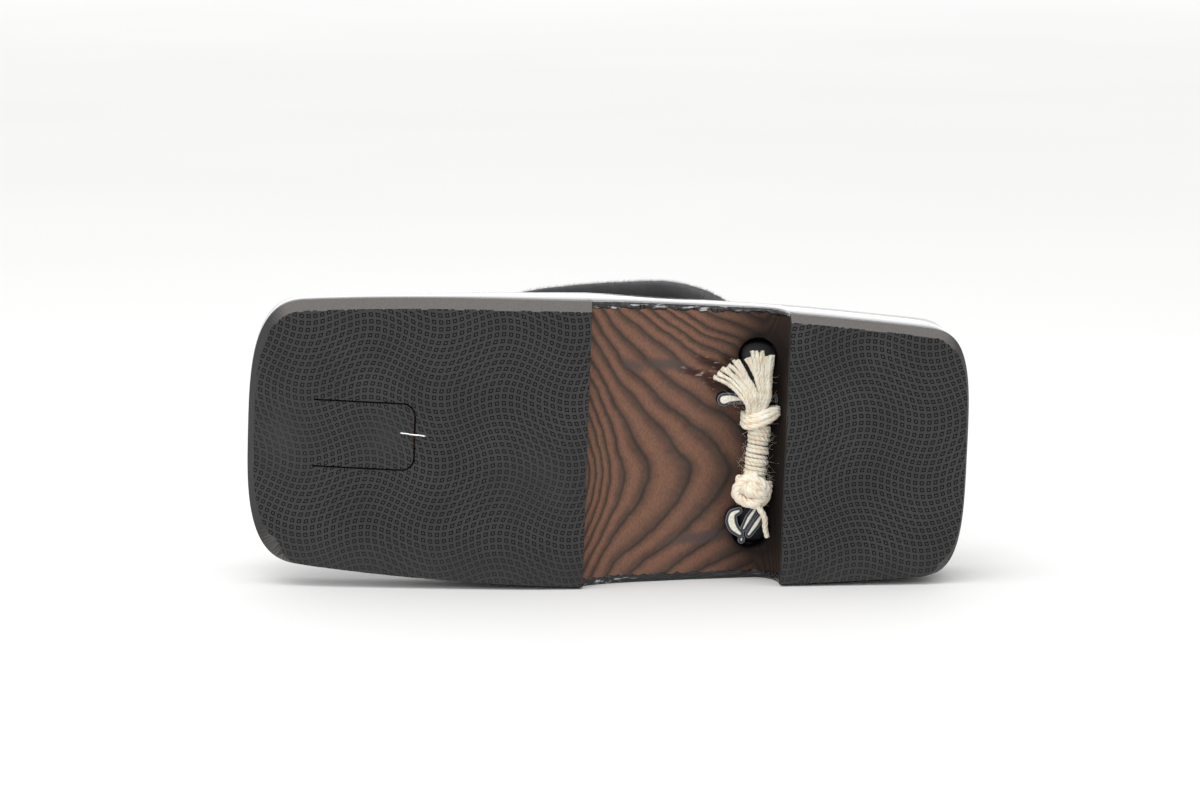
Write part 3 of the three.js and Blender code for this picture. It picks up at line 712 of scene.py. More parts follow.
def node_tree(name, inputs):
    """An empty Geometry Nodes tree with named number inputs."""
    tree = bpy.data.node_groups.new(name, "GeometryNodeTree")
    tree.interface.new_socket("Geometry", in_out="INPUT", socket_type="NodeSocketGeometry")
    for key, kind in inputs.items():
        tree.interface.new_socket(key, in_out="INPUT", socket_type=kind)
    tree.interface.new_socket("Geometry", in_out="OUTPUT", socket_type="NodeSocketGeometry")
    return tree, tree.nodes.new("NodeGroupInput"), tree.nodes.new("NodeGroupOutput")


def grow(piece, tree, values):
    """Runs a Geometry Nodes tree on a piece with values for its named inputs."""
    modifier = piece.modifiers.new(tree.name, "NODES")
    modifier.node_group = tree
    for item in tree.interface.items_tree:
        if item.item_type == "SOCKET" and item.in_out == "INPUT" and item.name in values:
            modifier[item.identifier] = values[item.name]
    return plain_mesh(piece)


def finish_tree(tree, out, geometry):
    """Ends a tree with plain geometry in the material of its input."""
    start = next(node for node in tree.nodes if node.bl_idname == "NodeGroupInput")
    real = add(tree, "GeometryNodeRealizeInstances", {"Geometry": geometry})
    values = {"Geometry": real.outputs[0], "Material": start.outputs["Material"]}
    painted = add(tree, "GeometryNodeSetMaterial", values)
    tree.links.new(painted.outputs[0], out.inputs["Geometry"])


def lattice_tree():
    """A field of pits on a wavy lattice. Each line of the lattice leans by a sine of its way along."""
    kinds = dict.fromkeys(("Columns", "Rows"), "NodeSocketInt")
    kinds |= dict.fromkeys(("Pitch", "Start X", "Start Y"), "NodeSocketFloat")
    for line in ("Column", "Row"):
        for key in ("Wave", "Length", "Phase", "Lean"):
            kinds[f"{line} {key}"] = "NodeSocketFloat"
    kinds |= {"Pit": "NodeSocketObject", "Material": "NodeSocketMaterial"}
    tree, given, out = node_tree("pit_lattice", kinds)
    value = given.outputs
    columns, rows = value["Columns"], value["Rows"]

    def wide(lines):
        return past(tree, lines, 1.0, value["Pitch"], clamp=False)

    def wave(along, line):
        turn = past(tree, along, value[line + " Phase"], 2 * math.pi, clamp=False)
        turn = calc(tree, "DIVIDE", turn, value[line + " Length"])
        swing = times(tree, calc(tree, "SINE", turn), value[line + " Wave"])
        return calc(tree, "ADD", swing, times(tree, along, value[line + " Lean"]))

    sizes = {"Size X": wide(columns), "Size Y": wide(rows), "Vertices X": columns, "Vertices Y": rows}
    grid = add(tree, "GeometryNodeMeshGrid", sizes).outputs["Mesh"]
    shape = add(tree, "GeometryNodeObjectInfo", {"Object": value["Pit"]}).outputs["Geometry"]
    pits = add(tree, "GeometryNodeInstanceOnPoints", {"Points": grid, "Instance": shape}).outputs[0]
    flat = add(tree, "GeometryNodeRealizeInstances", {"Geometry": pits}).outputs[0]
    start = add(tree, "ShaderNodeCombineXYZ", {"X": value["Start X"], "Y": value["Start Y"]})
    moved = add(tree, "GeometryNodeSetPosition", {"Geometry": flat, "Offset": start.outputs[0]})
    place = add(tree, "GeometryNodeInputPosition").outputs[0]
    values = {"Geometry": moved.outputs[0], "Name": "lattice", "Value": place}
    vector = {"data_type": "FLOAT_VECTOR"}
    geometry = add(tree, "GeometryNodeStoreNamedAttribute", values, **vector).outputs[0]
    lattice = add(tree, "GeometryNodeInputNamedAttribute", {"Name": "lattice"}, **vector).outputs[0]
    home = add(tree, "ShaderNodeSeparateXYZ", {"Vector": lattice}).outputs
    # Each round leans the lines by the places that the round before it found.
    for _ in range(3):
        place = add(tree, "GeometryNodeInputPosition").outputs[0]
        here = add(tree, "ShaderNodeSeparateXYZ", {"Vector": place}).outputs
        new_x = calc(tree, "ADD", home["X"], wave(here["Y"], "Column"))
        new_y = calc(tree, "ADD", home["Y"], wave(new_x, "Row"))
        spot = add(tree, "ShaderNodeCombineXYZ", {"X": new_x, "Y": new_y, "Z": here["Z"]}).outputs[0]
        geometry = add(tree, "GeometryNodeSetPosition", {"Geometry": geometry, "Position": spot}).outputs[0]
    finish_tree(tree, out, geometry)
    return tree


def pit_shape():
    """A square ring with sloping walls, the cutter for one pit round its pip."""
    below = -0.15
    wall_lean, pip_lean = 0.12, 0.06
    points = []
    for half, z in (
        (pit_wide / 2, below),
        (pit_wide / 2 - wall_lean, pit_deep),
        (pip_wide / 2 + pip_lean, pit_deep),
        (pip_wide / 2, below),
    ):
        points += [(-half, -half, z), (half, -half, z), (half, half, z), (-half, half, z)]
    # A fifth ring of points would be the first one again.
    faces = [tuple(i % len(points) for i in face) for face in ring_faces(5, 4)]
    return new_piece("pit_cutter", points, faces, smooth=False)


def trim_inset(left, right, end, left_corner, right_corner):
    """How far the knife's slant goes in at the ground face, by which way the side looks."""

    def inset(across, side):
        square = across**2
        flank, corner = (left, left_corner) if side < 0 else (right, right_corner)
        return flank * square + end * (1 - square) + corner * 4 * square * (1 - square)

    return inset


flap_start, flap_length = 24, 37.5
flap_end = flap_start + flap_length


def kerf_shape():
    """The saw cut round the flap, open towards the toe."""
    wide, offset, corner, slot = 25.4, -1, 5, 0.7
    below, above = -1, 8

    def run(half, end, radius):
        turns = np.linspace(-math.pi / 2, 0, 9)
        low = [(end - radius + radius * math.cos(t), -half + radius + radius * math.sin(t)) for t in turns]
        high = [(x, -y) for x, y in low][::-1]
        return [(flap_start, -half), *low, *high, (flap_start, half)]

    outer = run(wide / 2, flap_end, corner)
    inner = run(wide / 2 - slot, flap_end - slot, corner - slot)
    count = len(outer)
    points = [(x, y + offset, z) for z in (below, above) for x, y in [*outer, *inner]]
    faces = []
    for i in range(count - 1):
        a, b, c, d = i, i + 1, count + i + 1, count + i
        up = 2 * count
        faces += [(a, b, c, d), (a + up, d + up, c + up, b + up)]
        faces += [(a, a + up, b + up, b), (d, c, c + up, d + up)]
    for i, j in ((0, count), (2 * count - 1, count - 1)):
        faces.append((i, j, j + 2 * count, i + 2 * count))
    return new_piece("kerf_cutter", points, faces, smooth=False)


# Where the tread is worn: middle, half length, half width and how much.
worn_places = ((12, 0, 14, 17, 1), (50, -1, 11, 11, 1), (108, 14, 17, 16, 0.75))


def sole_piece(name, stations, trim, lattice, kerf=None):
    """One rubber sole, cut flat, then bent to the toe spring and laid down."""
    levels = [
        (trim_inset(*trim), lambda x: np.zeros_like(x)),
        (0, lambda x: np.full_like(x, rubber_thickness - seam_gap)),
    ]
    points, faces = slab(stations, levels, 3)
    sole = new_piece(name, points, faces, smooth=False)
    outward(sole)
    pits = new_piece(name + "_pits", [(0, 0, 0)], [], smooth=False)
    shape = pit_shape()
    outward(shape)
    grow(pits, lattice_tree(), {**lattice, "Pit": shape})
    bpy.data.objects.remove(shape)
    if kerf is not None:
        outward(kerf)
        cut(sole, kerf)
    cut(sole, pits)
    x, y, z = places_of(sole.data)
    flank_worn, flank_start, flank_run = 0.8, 33, 14
    worn = flank_worn * np.clip((y - flank_start) / flank_run, 0, 1)
    for middle_x, middle_y, long, wide, share in worn_places:
        spot = np.exp(-(((x - middle_x) / long) ** 2) - ((y - middle_y) / wide) ** 2)
        worn = np.maximum(worn, share * spot)
    in_pit = (z > 0.05) & (z < pit_deep + 0.02)
    depth_lost, darkness_lost = 0.72, 0.65
    z = np.where(in_pit, z * (1 - depth_lost * worn), z)
    # Each pit's floor keeps a share of painted shade, less where the tread is worn.
    keep(sole.data, "pit", np.where(in_pit, 1 - darkness_lost * worn, 0.0))
    keep(sole.data, "thick", z)
    settle(sole.data, x, y, z + spring_height(x))
    return sole


def sponge_rubber():
    material, tree, shader = new_material("sponge_rubber", {"Specular IOR Level": 0.28})
    pit = attribute(tree, "pit")
    facing = add(tree, "ShaderNodeNewGeometry").outputs["True Normal"]
    turned = add(tree, "ShaderNodeSeparateXYZ", {"Vector": facing}).outputs
    # The ground face looks along -Y. What looks elsewhere above a pit's depth was cut by the knife.
    ground = calc(tree, "GREATER_THAN", times(tree, turned["Y"], -1.0), 0.955)
    low = calc(tree, "LESS_THAN", attribute(tree, "thick"), pit_deep + 0.03)
    in_pit = times(tree, low, calc(tree, "GREATER_THAN", pit, 0.01))
    moulded = calc(tree, "MAXIMUM", ground, in_pit)
    cloud = noise(tree, 60, 4)
    speck = noise(tree, 2600, 2)
    grime = ramp(tree, cloud, [(0.3, (0.027, 0.027, 0.027)), (0.7, (0.039, 0.038, 0.038))])
    # Pit floors are painted far darker than the tread's tops: painted shade in the pits, and partly dust
    # lying on the tops.
    tread = mixed(tree, pit, grime, (0.007, 0.007, 0.007))
    sponge = ramp(tree, speck, [(0.32, (0.085, 0.077, 0.073)), (0.55, (0.135, 0.125, 0.120))])
    lines = noise(tree, 1.0, 2, stretch=(60, 1400, 1400))
    sponge = mixed(tree, times(tree, lines, 0.3), sponge, (0.088, 0.080, 0.076))
    # The ends keep their dark skin, and the flanks are pale.
    is_end = calc(tree, "MULTIPLY_ADD", calc(tree, "ABSOLUTE", turned["X"]), 3.0, -1.3, clamp=True)
    sponge = mixed(tree, is_end, sponge, (0.024, 0.023, 0.023))
    cells = calc(tree, "MULTIPLY_ADD", speck, 0.7, times(tree, lines, 0.5))
    values = {
        "Base Color": mixed(tree, moulded, sponge, tread),
        "Roughness": calc(tree, "MULTIPLY_ADD", cloud, 0.25, 0.55),
        "Normal": bumped(tree, cells, 0.00012, 0.5),
    }
    drive(tree, shader, values)
    return material


rubber = sponge_rubber()
front_stations = np.concatenate(
    [end_stations(toe_rounding, toe_squareness, 30), np.linspace(toe_rounding, arch_start, 52)[1:]]
)
front_lattice = {
    "Columns": 54, "Rows": 48, "Pitch": pit_pitch, "Start X": 62.42, "Start Y": -0.41,
    "Column Wave": 3.5, "Column Length": 51.5, "Column Phase": -3.5, "Column Lean": 0.0,
    "Row Wave": 3.46, "Row Length": 49.0, "Row Phase": 8.0, "Row Lean": 0.0,
    "Material": rubber,
}
front_sole = sole_piece(
    "front_tread", front_stations, (3.7, 0.9, 2.4, 0.4, 4.2), front_lattice, kerf=kerf_shape()
)
heel_stations = np.concatenate(
    [
        np.linspace(arch_end, sole_length - heel_rounding, 26)[:-1],
        sole_length - end_stations(heel_rounding, heel_squareness, 30)[::-1],
    ]
)
heel_lattice = front_lattice | {
    "Columns": 34, "Rows": 48, "Pitch": 2.53, "Start X": 232.0, "Start Y": 20.3,
    "Column Wave": 3.25, "Column Phase": -26.5, "Column Lean": 0.0895,
    "Row Wave": 3.28, "Row Length": 51.5, "Row Phase": 238.0, "Row Lean": -0.0875,
}
heel_sole = sole_piece("heel_tread", heel_stations, (2.8, 0.9, 1.5, 1.1, 2.6), heel_lattice)
for sole, node in ((front_sole, "front_sole"), (heel_sole, "heel_sole")):
    sole.data.materials.clear()
    sole.data.materials.append(rubber)
    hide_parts(node)
    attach(sole, "root")


# Staple: one bright wire that holds the flap shut. Its crown lies on the rubber, and its two legs
# are pushed through the flap and the sole.
staple_wire, staple_crown, staple_leg = 0.9, 10.2, 4.5


def smooth_path(points, steps):
    """Places along a smooth curve through points, with even steps in each span."""
    points = np.asarray(points, float)
    spans = len(points) - 1
    held = np.concatenate([[2 * points[0] - points[1]], points, [2 * points[-1] - points[-2]]])
    path = []
    for at in range(spans * steps + 1):
        k = min(at // steps, spans - 1)
        t = at / steps - k
        a, b, c, d = held[k : k + 4]
        before, run, after = (np.dot(q - p, q - p) ** 0.25 for p, q in ((a, b), (b, c), (c, d)))
        start = ((b - a) / before - (c - a) / (before + run) + (c - b) / run) * run
        end = ((c - b) / run - (d - b) / (run + after) + (d - c) / after) * run
        path.append(
            b * (2 * t**3 - 3 * t**2 + 1)
            + start * (t**3 - 2 * t**2 + t)
            + c * (3 * t**2 - 2 * t**3)
            + end * (t**3 - t**2)
        )
    return np.array(path)


def between_rows(values, steps):
    """A table column's values at the steps of a smooth path."""
    count = len(values) - 1
    at = np.arange(count * steps + 1) / steps
    values = np.asarray(values, float)
    if values.ndim == 1:
        return np.interp(at, np.arange(count + 1), values)
    return np.stack([np.interp(at, np.arange(count + 1), column) for column in values.T], 1)


def swept(path, wide, thick, face, sides, squareness=2.0):
    """Loops of points round a path, and the way each loop's thin side looks, near its face vector."""
    tangent = np.empty_like(path)
    tangent[1:-1] = path[2:] - path[:-2]
    tangent[0], tangent[-1] = path[1] - path[0], path[-1] - path[-2]
    tangent /= np.linalg.norm(tangent, axis=1)[:, None]
    across = np.cross(tangent, face)
    across /= np.linalg.norm(across, axis=1)[:, None]
    out = np.cross(across, tangent)
    turn = round_turns(sides)
    c, s = np.cos(turn), np.sin(turn)
    u = np.sign(c) * np.abs(c) ** (2 / squareness)
    v = np.sign(s) * np.abs(s) ** (2 / squareness)
    u = u[None] * np.broadcast_to(wide, len(path))[:, None] / 2
    v = v[None] * np.broadcast_to(thick, len(path))[:, None] / 2
    return path[:, None] + across[:, None] * u[..., None] + out[:, None] * v[..., None], out


def staple_piece():
    half = (staple_crown - staple_wire) / 2
    bend, sides = 0.8, 14
    turns = np.linspace(0, math.pi / 2, 6)
    side = [(half - bend + bend * math.sin(t), 0, bend - bend * math.cos(t)) for t in turns]
    run = [(x, 0.06 * math.sin(x * 1.9), 0.05 * x * x / half) for x in np.linspace(0, half - bend, 8)]
    right = [*run, *side[1:], (half, 0, staple_leg * 0.5), (half, 0, staple_leg)]
    path = np.array([(-x, y, z) for x, y, z in right[:0:-1]] + right)
    face = np.tile([0.0, 1.0, 0.0], (len(path), 1))
    loops, _ = swept(path, staple_wire * 0.92, staple_wire * 0.7, face, sides, 2.4)
    sideways, pressed_in, askew = -2.2, 0.12, 0.08
    rise = spring_height(flap_end - staple_crown / 2) - spring_height(flap_end + staple_crown / 2)
    place = (
        Matrix.Translation((flap_end - 1, sideways, float(spring_height(flap_end)) - pressed_in))
        @ Matrix.Rotation(askew, 4, "Z")
        @ Matrix.Rotation(math.atan2(float(rise), staple_crown), 4, "Y")
    )
    turn = np.array(place)
    points = loops.reshape(-1, 3) @ turn[:3, :3].T + turn[:3, 3]
    staple = new_piece("flap_staple", lay(points), tube_faces(len(path), sides))
    outward(staple)
    return staple


def bright_wire():
    material, tree, shader = new_material("staple_wire", {"Metallic": 1.0})
    spots = noise(tree, 900, 3)
    drawn = noise(tree, 1.0, 2, stretch=(300, 9000, 9000))
    values = {
        "Base Color": ramp(tree, spots, [(0.35, (0.72, 0.70, 0.69)), (0.7, (0.92, 0.92, 0.93))]),
        "Roughness": calc(tree, "MULTIPLY_ADD", spots, 0.25, 0.16),
        "Normal": bumped(tree, drawn, 0.00002, 0.5),
    }
    drive(tree, shader, values)
    return material


staple = staple_piece()
staple.data.materials.append(bright_wire())
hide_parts("staple")
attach(staple, "root")


# Strap: a padded tube of charcoal velvet, sewn together along its underside and bent round the thong
# in front. Both ends are pushed down their holes. Its right side is pressed flat by the floor.
strap_wide, strap_thick, strap_rise = 20, 10, 36
soft_gap = 0.3
# Half of it from the middle, in shares: back, out, up, wide, thick, and its face back, in and down.
strap_rows = [
    (0, 0, 0.56, 0.62, 0.8, 1, 0, 0.45),
    (0.055, 0.165, 0.6, 0.66, 0.85, 0.8, 0.5, 0.5),
    (0.14, 0.365, 0.68, 0.75, 0.95, 0.55, 0.75, 0.6),
    (0.26, 0.6, 0.8, 0.9, 1, 0.4, 0.8, 0.6),
    (0.4, 0.787, 0.93, 1, 1, 0.25, 0.85, 0.5),
    (0.54, 0.857, 1, 1, 1, 0.1, 0.9, 0.35),
    (0.68, 0.911, 1, 1, 1, 0, 1, 0.2),
    (0.8, 0.94, 0.93, 0.96, 1, 0, 1, 0.1),
    (0.89, 0.894, 0.72, 0.86, 0.96, -0.05, 1, 0),
    (0.96, 0.77, 0.38, 0.7, 0.92, -0.1, 1, 0),
]


def strap_row(row, side):
    back_share, out, up, wide, thick, face_back, face_in, face_down = row
    x = thong_hole_at + (rear_hole_at - thong_hole_at) * back_share
    place = (x, side * out * float(side_half(x)), float(wood_top(x)) + up * strap_rise)
    face = (face_back, -side * face_in, -face_down)
    return (*place, wide * strap_wide, thick * strap_thick, *face)


def strap_end_rows(side):
    """The strap's end, squeezed into its hole and ending a little over the arch."""
    top = float(wood_top(rear_hole_at))
    bottom = float(wood_under(rear_hole_at)) + rubber_thickness
    heights = (top + 0.1 * strap_rise, top - rear_hole / 4, top + (bottom - top) * 0.6, bottom)
    squeezed = rear_hole - 4
    return [
        (rear_hole_at, side * (rear_hole_side + (0 if i else 1)), z, squeezed, squeezed - 1, -0.1, -side, 0)
        for i, z in enumerate(heights)
    ]


def strap_run(steps):
    right = [strap_row(row, 1) for row in strap_rows[1:]] + strap_end_rows(1)
    left = [strap_row(row, -1) for row in strap_rows[1:]] + strap_end_rows(-1)
    rows = np.array([*left[::-1], strap_row(strap_rows[0], 1), *right], float)
    path = smooth_path(rows[:, :3], steps)
    wide, thick = between_rows(rows[:, 3], steps), between_rows(rows[:, 4], steps)
    return path, wide, thick, between_rows(rows[:, 5:], steps)


strap_steps = 16


def strap_piece():
    sides = 72
    seam_deep, pucker_deep, swell_deep, pile_room = 0.95, 0.22, 0.16, 0.12
    path, wide, thick, face = strap_run(strap_steps)
    loops, _ = swept(path, wide, thick, face, sides, 2.5)
    along = np.concatenate([[0], np.cumsum(np.linalg.norm(np.diff(path, axis=0), axis=1))])
    turn = round_turns(sides)
    from_seam = np.abs(turn - math.pi / 2)
    seam = np.exp(-((from_seam / 0.07) ** 2))
    near = np.exp(-((from_seam / 0.55) ** 2))
    ripple = np.sin(along / 0.95 + 1.4 * np.sin(along / 7.0)) + 0.5 * np.sin(along / 2.3 + 2)
    swell = np.sin(along / 17.0)[:, None] * np.cos(turn * 2 + 0.6)[None]
    depth = -seam_deep * seam[None] + pucker_deep * ripple[:, None] * near[None] + swell_deep * swell
    middle = loops.mean(1, keepdims=True)
    away = loops - middle
    away /= np.linalg.norm(away, axis=2)[..., None]
    loops = loops + away * (depth - pile_room)[..., None]
    points = lay(loops.reshape(-1, 3))
    # The floor presses the strap flat.
    points[:, 2] = np.maximum(points[:, 2], 0.00005)
    strap = new_piece("padded_strap", points, tube_faces(len(path), sides))
    outward(strap)
    return strap


def pile_tree():
    """Short hairs standing on a surface, each leaning its own way."""
    kinds = dict.fromkeys(("Density", "Hair Length", "Hair Radius", "Floor"), "NodeSocketFloat")
    kinds["Material"] = "NodeSocketMaterial"
    tree, given, out = node_tree("velvet_pile", kinds)
    value = given.outputs
    place = add(tree, "GeometryNodeInputPosition").outputs[0]
    height = add(tree, "ShaderNodeSeparateXYZ", {"Vector": place}).outputs["Z"]
    above = add(tree, "FunctionNodeCompare", {0: height, 1: value["Floor"]}, operation="GREATER_THAN")
    values = {"Mesh": value["Geometry"], "Selection": above.outputs[0], "Density": value["Density"]}
    roots = add(tree, "GeometryNodeDistributePointsOnFaces", values | {"Seed": 7}).outputs
    values = {
        "Vertices": 3, "Side Segments": 1, "Fill Segments": 1, "Radius Top": 0.0,
        "Radius Bottom": value["Hair Radius"], "Depth": value["Hair Length"],
    }
    hair = add(tree, "GeometryNodeMeshCone", values).outputs["Mesh"]
    values = {0: (-0.7, -0.7, -3.1), 1: (0.7, 0.7, 3.1), "Seed": 11}
    lean = add(tree, "FunctionNodeRandomValue", values, data_type="FLOAT_VECTOR").outputs[0]
    values = {2: 0.5, 3: 1.3, "Seed": 5}
    size = add(tree, "FunctionNodeRandomValue", values, data_type="FLOAT").outputs[1]
    values = {"Rotation": roots["Rotation"], "Rotate By": lean}
    turned = add(tree, "FunctionNodeRotateRotation", values, rotation_space="LOCAL").outputs[0]
    values = {"Points": roots["Points"], "Instance": hair, "Rotation": turned, "Scale": size}
    hairs = add(tree, "GeometryNodeInstanceOnPoints", values)
    both = add(tree, "GeometryNodeJoinGeometry")
    tree.links.new(value["Geometry"], both.inputs[0])
    tree.links.new(hairs.outputs[0], both.inputs[0])
    finish_tree(tree, out, both.outputs[0])
    return tree


def strap_velvet():
    material, tree, shader = new_material(
        "strap_velvet", {"Sheen Weight": 0.35, "Sheen Roughness": 0.4, "Sheen Tint": (0.6, 0.6, 0.62, 1)}
    )
    nap = noise(tree, 160, 4)
    pile = noise(tree, 3800, 2)
    shade = ramp(tree, nap, [(0.3, (0.018, 0.018, 0.019)), (0.7, (0.033, 0.033, 0.034))])
    fine = mixed(tree, times(tree, pile, 0.6), shade, (0.048, 0.048, 0.050))
    values = {
        "Base Color": fine,
        "Roughness": calc(tree, "MULTIPLY_ADD", pile, 0.15, 0.82),
        "Normal": bumped(tree, pile, 0.00025, 0.7),
    }
    drive(tree, shader, values)
    return material


velvet = strap_velvet()
pile = {"Density": 1.5e6, "Hair Length": 0.0011, "Hair Radius": 0.00005, "Floor": 0.0015}
strap = grow(strap_piece(), pile_tree(), pile | {"Material": velvet})
strap.data.materials.clear()
strap.data.materials.append(velvet)
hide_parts("hanao")
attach(strap, "root")


# Toe thong: a band of black woven cloth looped tightly round the strap's bend. Its stem goes down the
# front hole, and a knot under the wood, behind the flap, keeps it there.
thong_thick, thong_band = 1.8, 10


def thong_piece():
    path, wide, thick, face = strap_run(strap_steps)
    here = np.abs(path[:, 1]) < thong_band / 2 + 0.6
    path, wide, thick, face = path[here], wide[here], thick[here], face[here]
    sides, rows, stem_sides = 48, int(here.sum()), 60
    at = np.linspace(-1, 1, rows)
    gather = 0.18 * np.sin(np.arange(rows) * 1.7)
    swell = 2 * (soft_gap + thong_thick) - 0.8 * np.abs(at) ** 6 + gather
    outer, _ = swept(path, wide + swell, thick + swell, face, sides, 2.5)
    inner, _ = swept(path, wide + 2 * soft_gap, thick + 2 * soft_gap, face, sides, 2.5)
    points = [outer.reshape(-1, 3), inner.reshape(-1, 3)]
    low = rows * sides
    last = low - sides
    faces = ring_faces(rows, sides) + [quad[::-1] for quad in ring_faces(rows, sides, low)]
    for i in range(sides):
        j = (i + 1) % sides
        faces.append((i, low + i, low + j, j))
        faces.append((last + j, low + last + j, low + last + i, last + i))
    seat = float(wood_under(thong_hole_at - knot_pocket / 2))
    pocket_top = float(wood_under(thong_hole_at)) + knot_pocket_depth
    strap_up, strap_narrow = strap_rows[0][2:4]
    loop_low = float(wood_top(thong_hole_at)) + strap_up * strap_rise - strap_narrow * strap_wide / 2
    stem = thong_hole / 2 - 1
    knot = knot_pocket / 2 - 1
    profile = [
        (0.4, seat + 0.2), (knot - 2.5, seat), (knot - 0.4, seat + 1.6), (knot, seat + 3.4),
        (knot - 0.8, seat + 5.2), (stem + 1.4, pocket_top - soft_gap), (stem, pocket_top + 1),
        (stem, pocket_top + 8), (stem - 0.2, pocket_top + 14), (stem - 0.6, loop_low - 3.5),
        (stem - 1.2, loop_low - 1.6), (stem - 2.4, loop_low - 0.4),
    ]
    shape = between_rows(profile, 5)
    turn = round_turns(stem_sides)
    for radius, z in shape:
        pleat = radius * (1 + 0.05 * np.sin(7 * turn + z * 0.35) + 0.02 * np.sin(13 * turn - z * 0.6))
        x, y = thong_hole_at + pleat * np.cos(turn), pleat * np.sin(turn)
        points.append(np.stack([x, y, np.full(stem_sides, z)], 1))
    faces += tube_faces(len(shape), stem_sides, 2 * low)
    thong = new_piece("toe_thong_loop", lay(np.concatenate(points)), faces)
    outward(thong)
    return thong


def thong_cloth():
    material, tree, shader = new_material("thong_fabric", {"Sheen Weight": 0.15})
    warp = noise(tree, 1.0, 1, stretch=(5200, 900, 900))
    weft = noise(tree, 1.0, 1, stretch=(900, 5200, 5200))
    weave = calc(tree, "MAXIMUM", warp, weft)
    values = {
        "Base Color": ramp(tree, weave, [(0.4, (0.012, 0.012, 0.013)), (0.7, (0.045, 0.045, 0.047))]),
        "Roughness": calc(tree, "MULTIPLY_ADD", weave, 0.2, 0.65),
        "Normal": bumped(tree, weave, 0.0003, 0.8),
    }
    drive(tree, shader, values)
    return material


thong = thong_piece()
thong.data.materials.append(thong_cloth())
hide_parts("toe_thong")
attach(thong, "root")


# Strap ends: black vinyl round a pale foam core. They come down through the rear holes, bend towards
# each other under the tie, and their folded ends are cut off square, which bares the core.
cut_height = 12.5
skin_edge, skin_deep = 0.28, 1.25


def leaf(route, half, low, high):
    """A folded end of strap: a flat band along a plan route, with its cut face in rings from its
    edge to its core. Gives points, faces and each point's way in from the edge."""
    steps, sides = 8, 10
    path = smooth_path([(x, y, 0) for x, y in route], steps)[:, :2]
    half = between_rows(half, steps)
    count = len(path)
    tangent = np.gradient(path, axis=0)
    tangent /= np.linalg.norm(tangent, axis=1)[:, None]
    normal = np.stack([-tangent[:, 1], tangent[:, 0]], 1)
    turns = np.linspace(-math.pi / 2, math.pi / 2, sides + 1)[1:-1]

    def ring(inward):
        size = np.maximum(half - inward, 0.02)
        right, left = path - normal * size[:, None], path + normal * size[:, None]
        end = [path[-1] + (tangent[-1] * math.cos(t) + normal[-1] * math.sin(t)) * size[-1] for t in turns]
        start = [path[0] - (tangent[0] * math.cos(t) + normal[0] * math.sin(t)) * size[0] for t in turns]
        return np.concatenate([right, end, left[::-1], start])

    loop = 2 * count + 2 * (sides - 1)
    core = (skin_deep + float(half.min())) / 2 + 0.2
    rings, marks = [], []
    for inward, height in (
        (0, high),
        (0, low + 0.25),
        (skin_edge, low),
        (0.8 * skin_deep, low + 0.05),
        (skin_deep, low + 0.05),
        (core, low - 0.1),
    ):
        rings.append(np.column_stack([ring(inward), np.full(loop, height)]))
        marks.append(np.full(loop, -1.0 if height > low + 0.1 else inward))
    faces = ring_faces(len(rings), loop)
    for level in (0, len(rings) - 1):
        first = level * loop
        strip = list(range(count)), [2 * count + sides - 2 - i for i in range(count)]
        for i in range(count - 1):
            quad = (strip[0][i], strip[0][i + 1], strip[1][i + 1], strip[1][i])
            faces.append(tuple(first + q for q in quad))
        end = [count - 1, *range(count, count + sides - 1), count + sides - 1]
        start = [2 * count + sides - 2, *range(2 * count + sides - 1, loop), 0]
        faces.append(tuple(first + q for q in end))
        faces.append(tuple(first + q for q in start))
    return np.concatenate(rings), faces, np.concatenate(marks)


def band(rows, groove):
    """A glossy length of strap through (x, y, z, wide, thick, face) rows, creased along its middle."""
    steps, sides = 8, 36
    rows = np.array(rows, float)
    path = smooth_path(rows[:, :3], steps)
    wide, thick = between_rows(rows[:, 3], steps), between_rows(rows[:, 4], steps)
    loops, out = swept(path, wide, thick, between_rows(rows[:, 5:], steps), sides, 2.6)
    turn = round_turns(sides)
    crease = groove * (np.exp(-(((turn - math.pi / 2) / 0.16) ** 2)) - 0.25 * np.cos(turn) ** 2)
    points = (loops - out[:, None] * crease[None, :, None]).reshape(-1, 3)
    return points, tube_faces(len(path), sides), np.full(len(points), -1.0)


def joined_piece(name, parts):
    """One mesh of several closed parts, with each point's way in from a cut edge."""
    points, faces, marks = [], [], []
    start = 0
    for part_points, part_faces, part_marks in parts:
        points.append(part_points)
        faces += [tuple(start + i for i in face) for face in part_faces]
        marks.append(part_marks)
        start += len(part_points)
    piece = new_piece(name, lay(np.concatenate(points)), faces)
    keep(piece.data, "inward", np.concatenate(marks))
    outward(piece)
    return piece


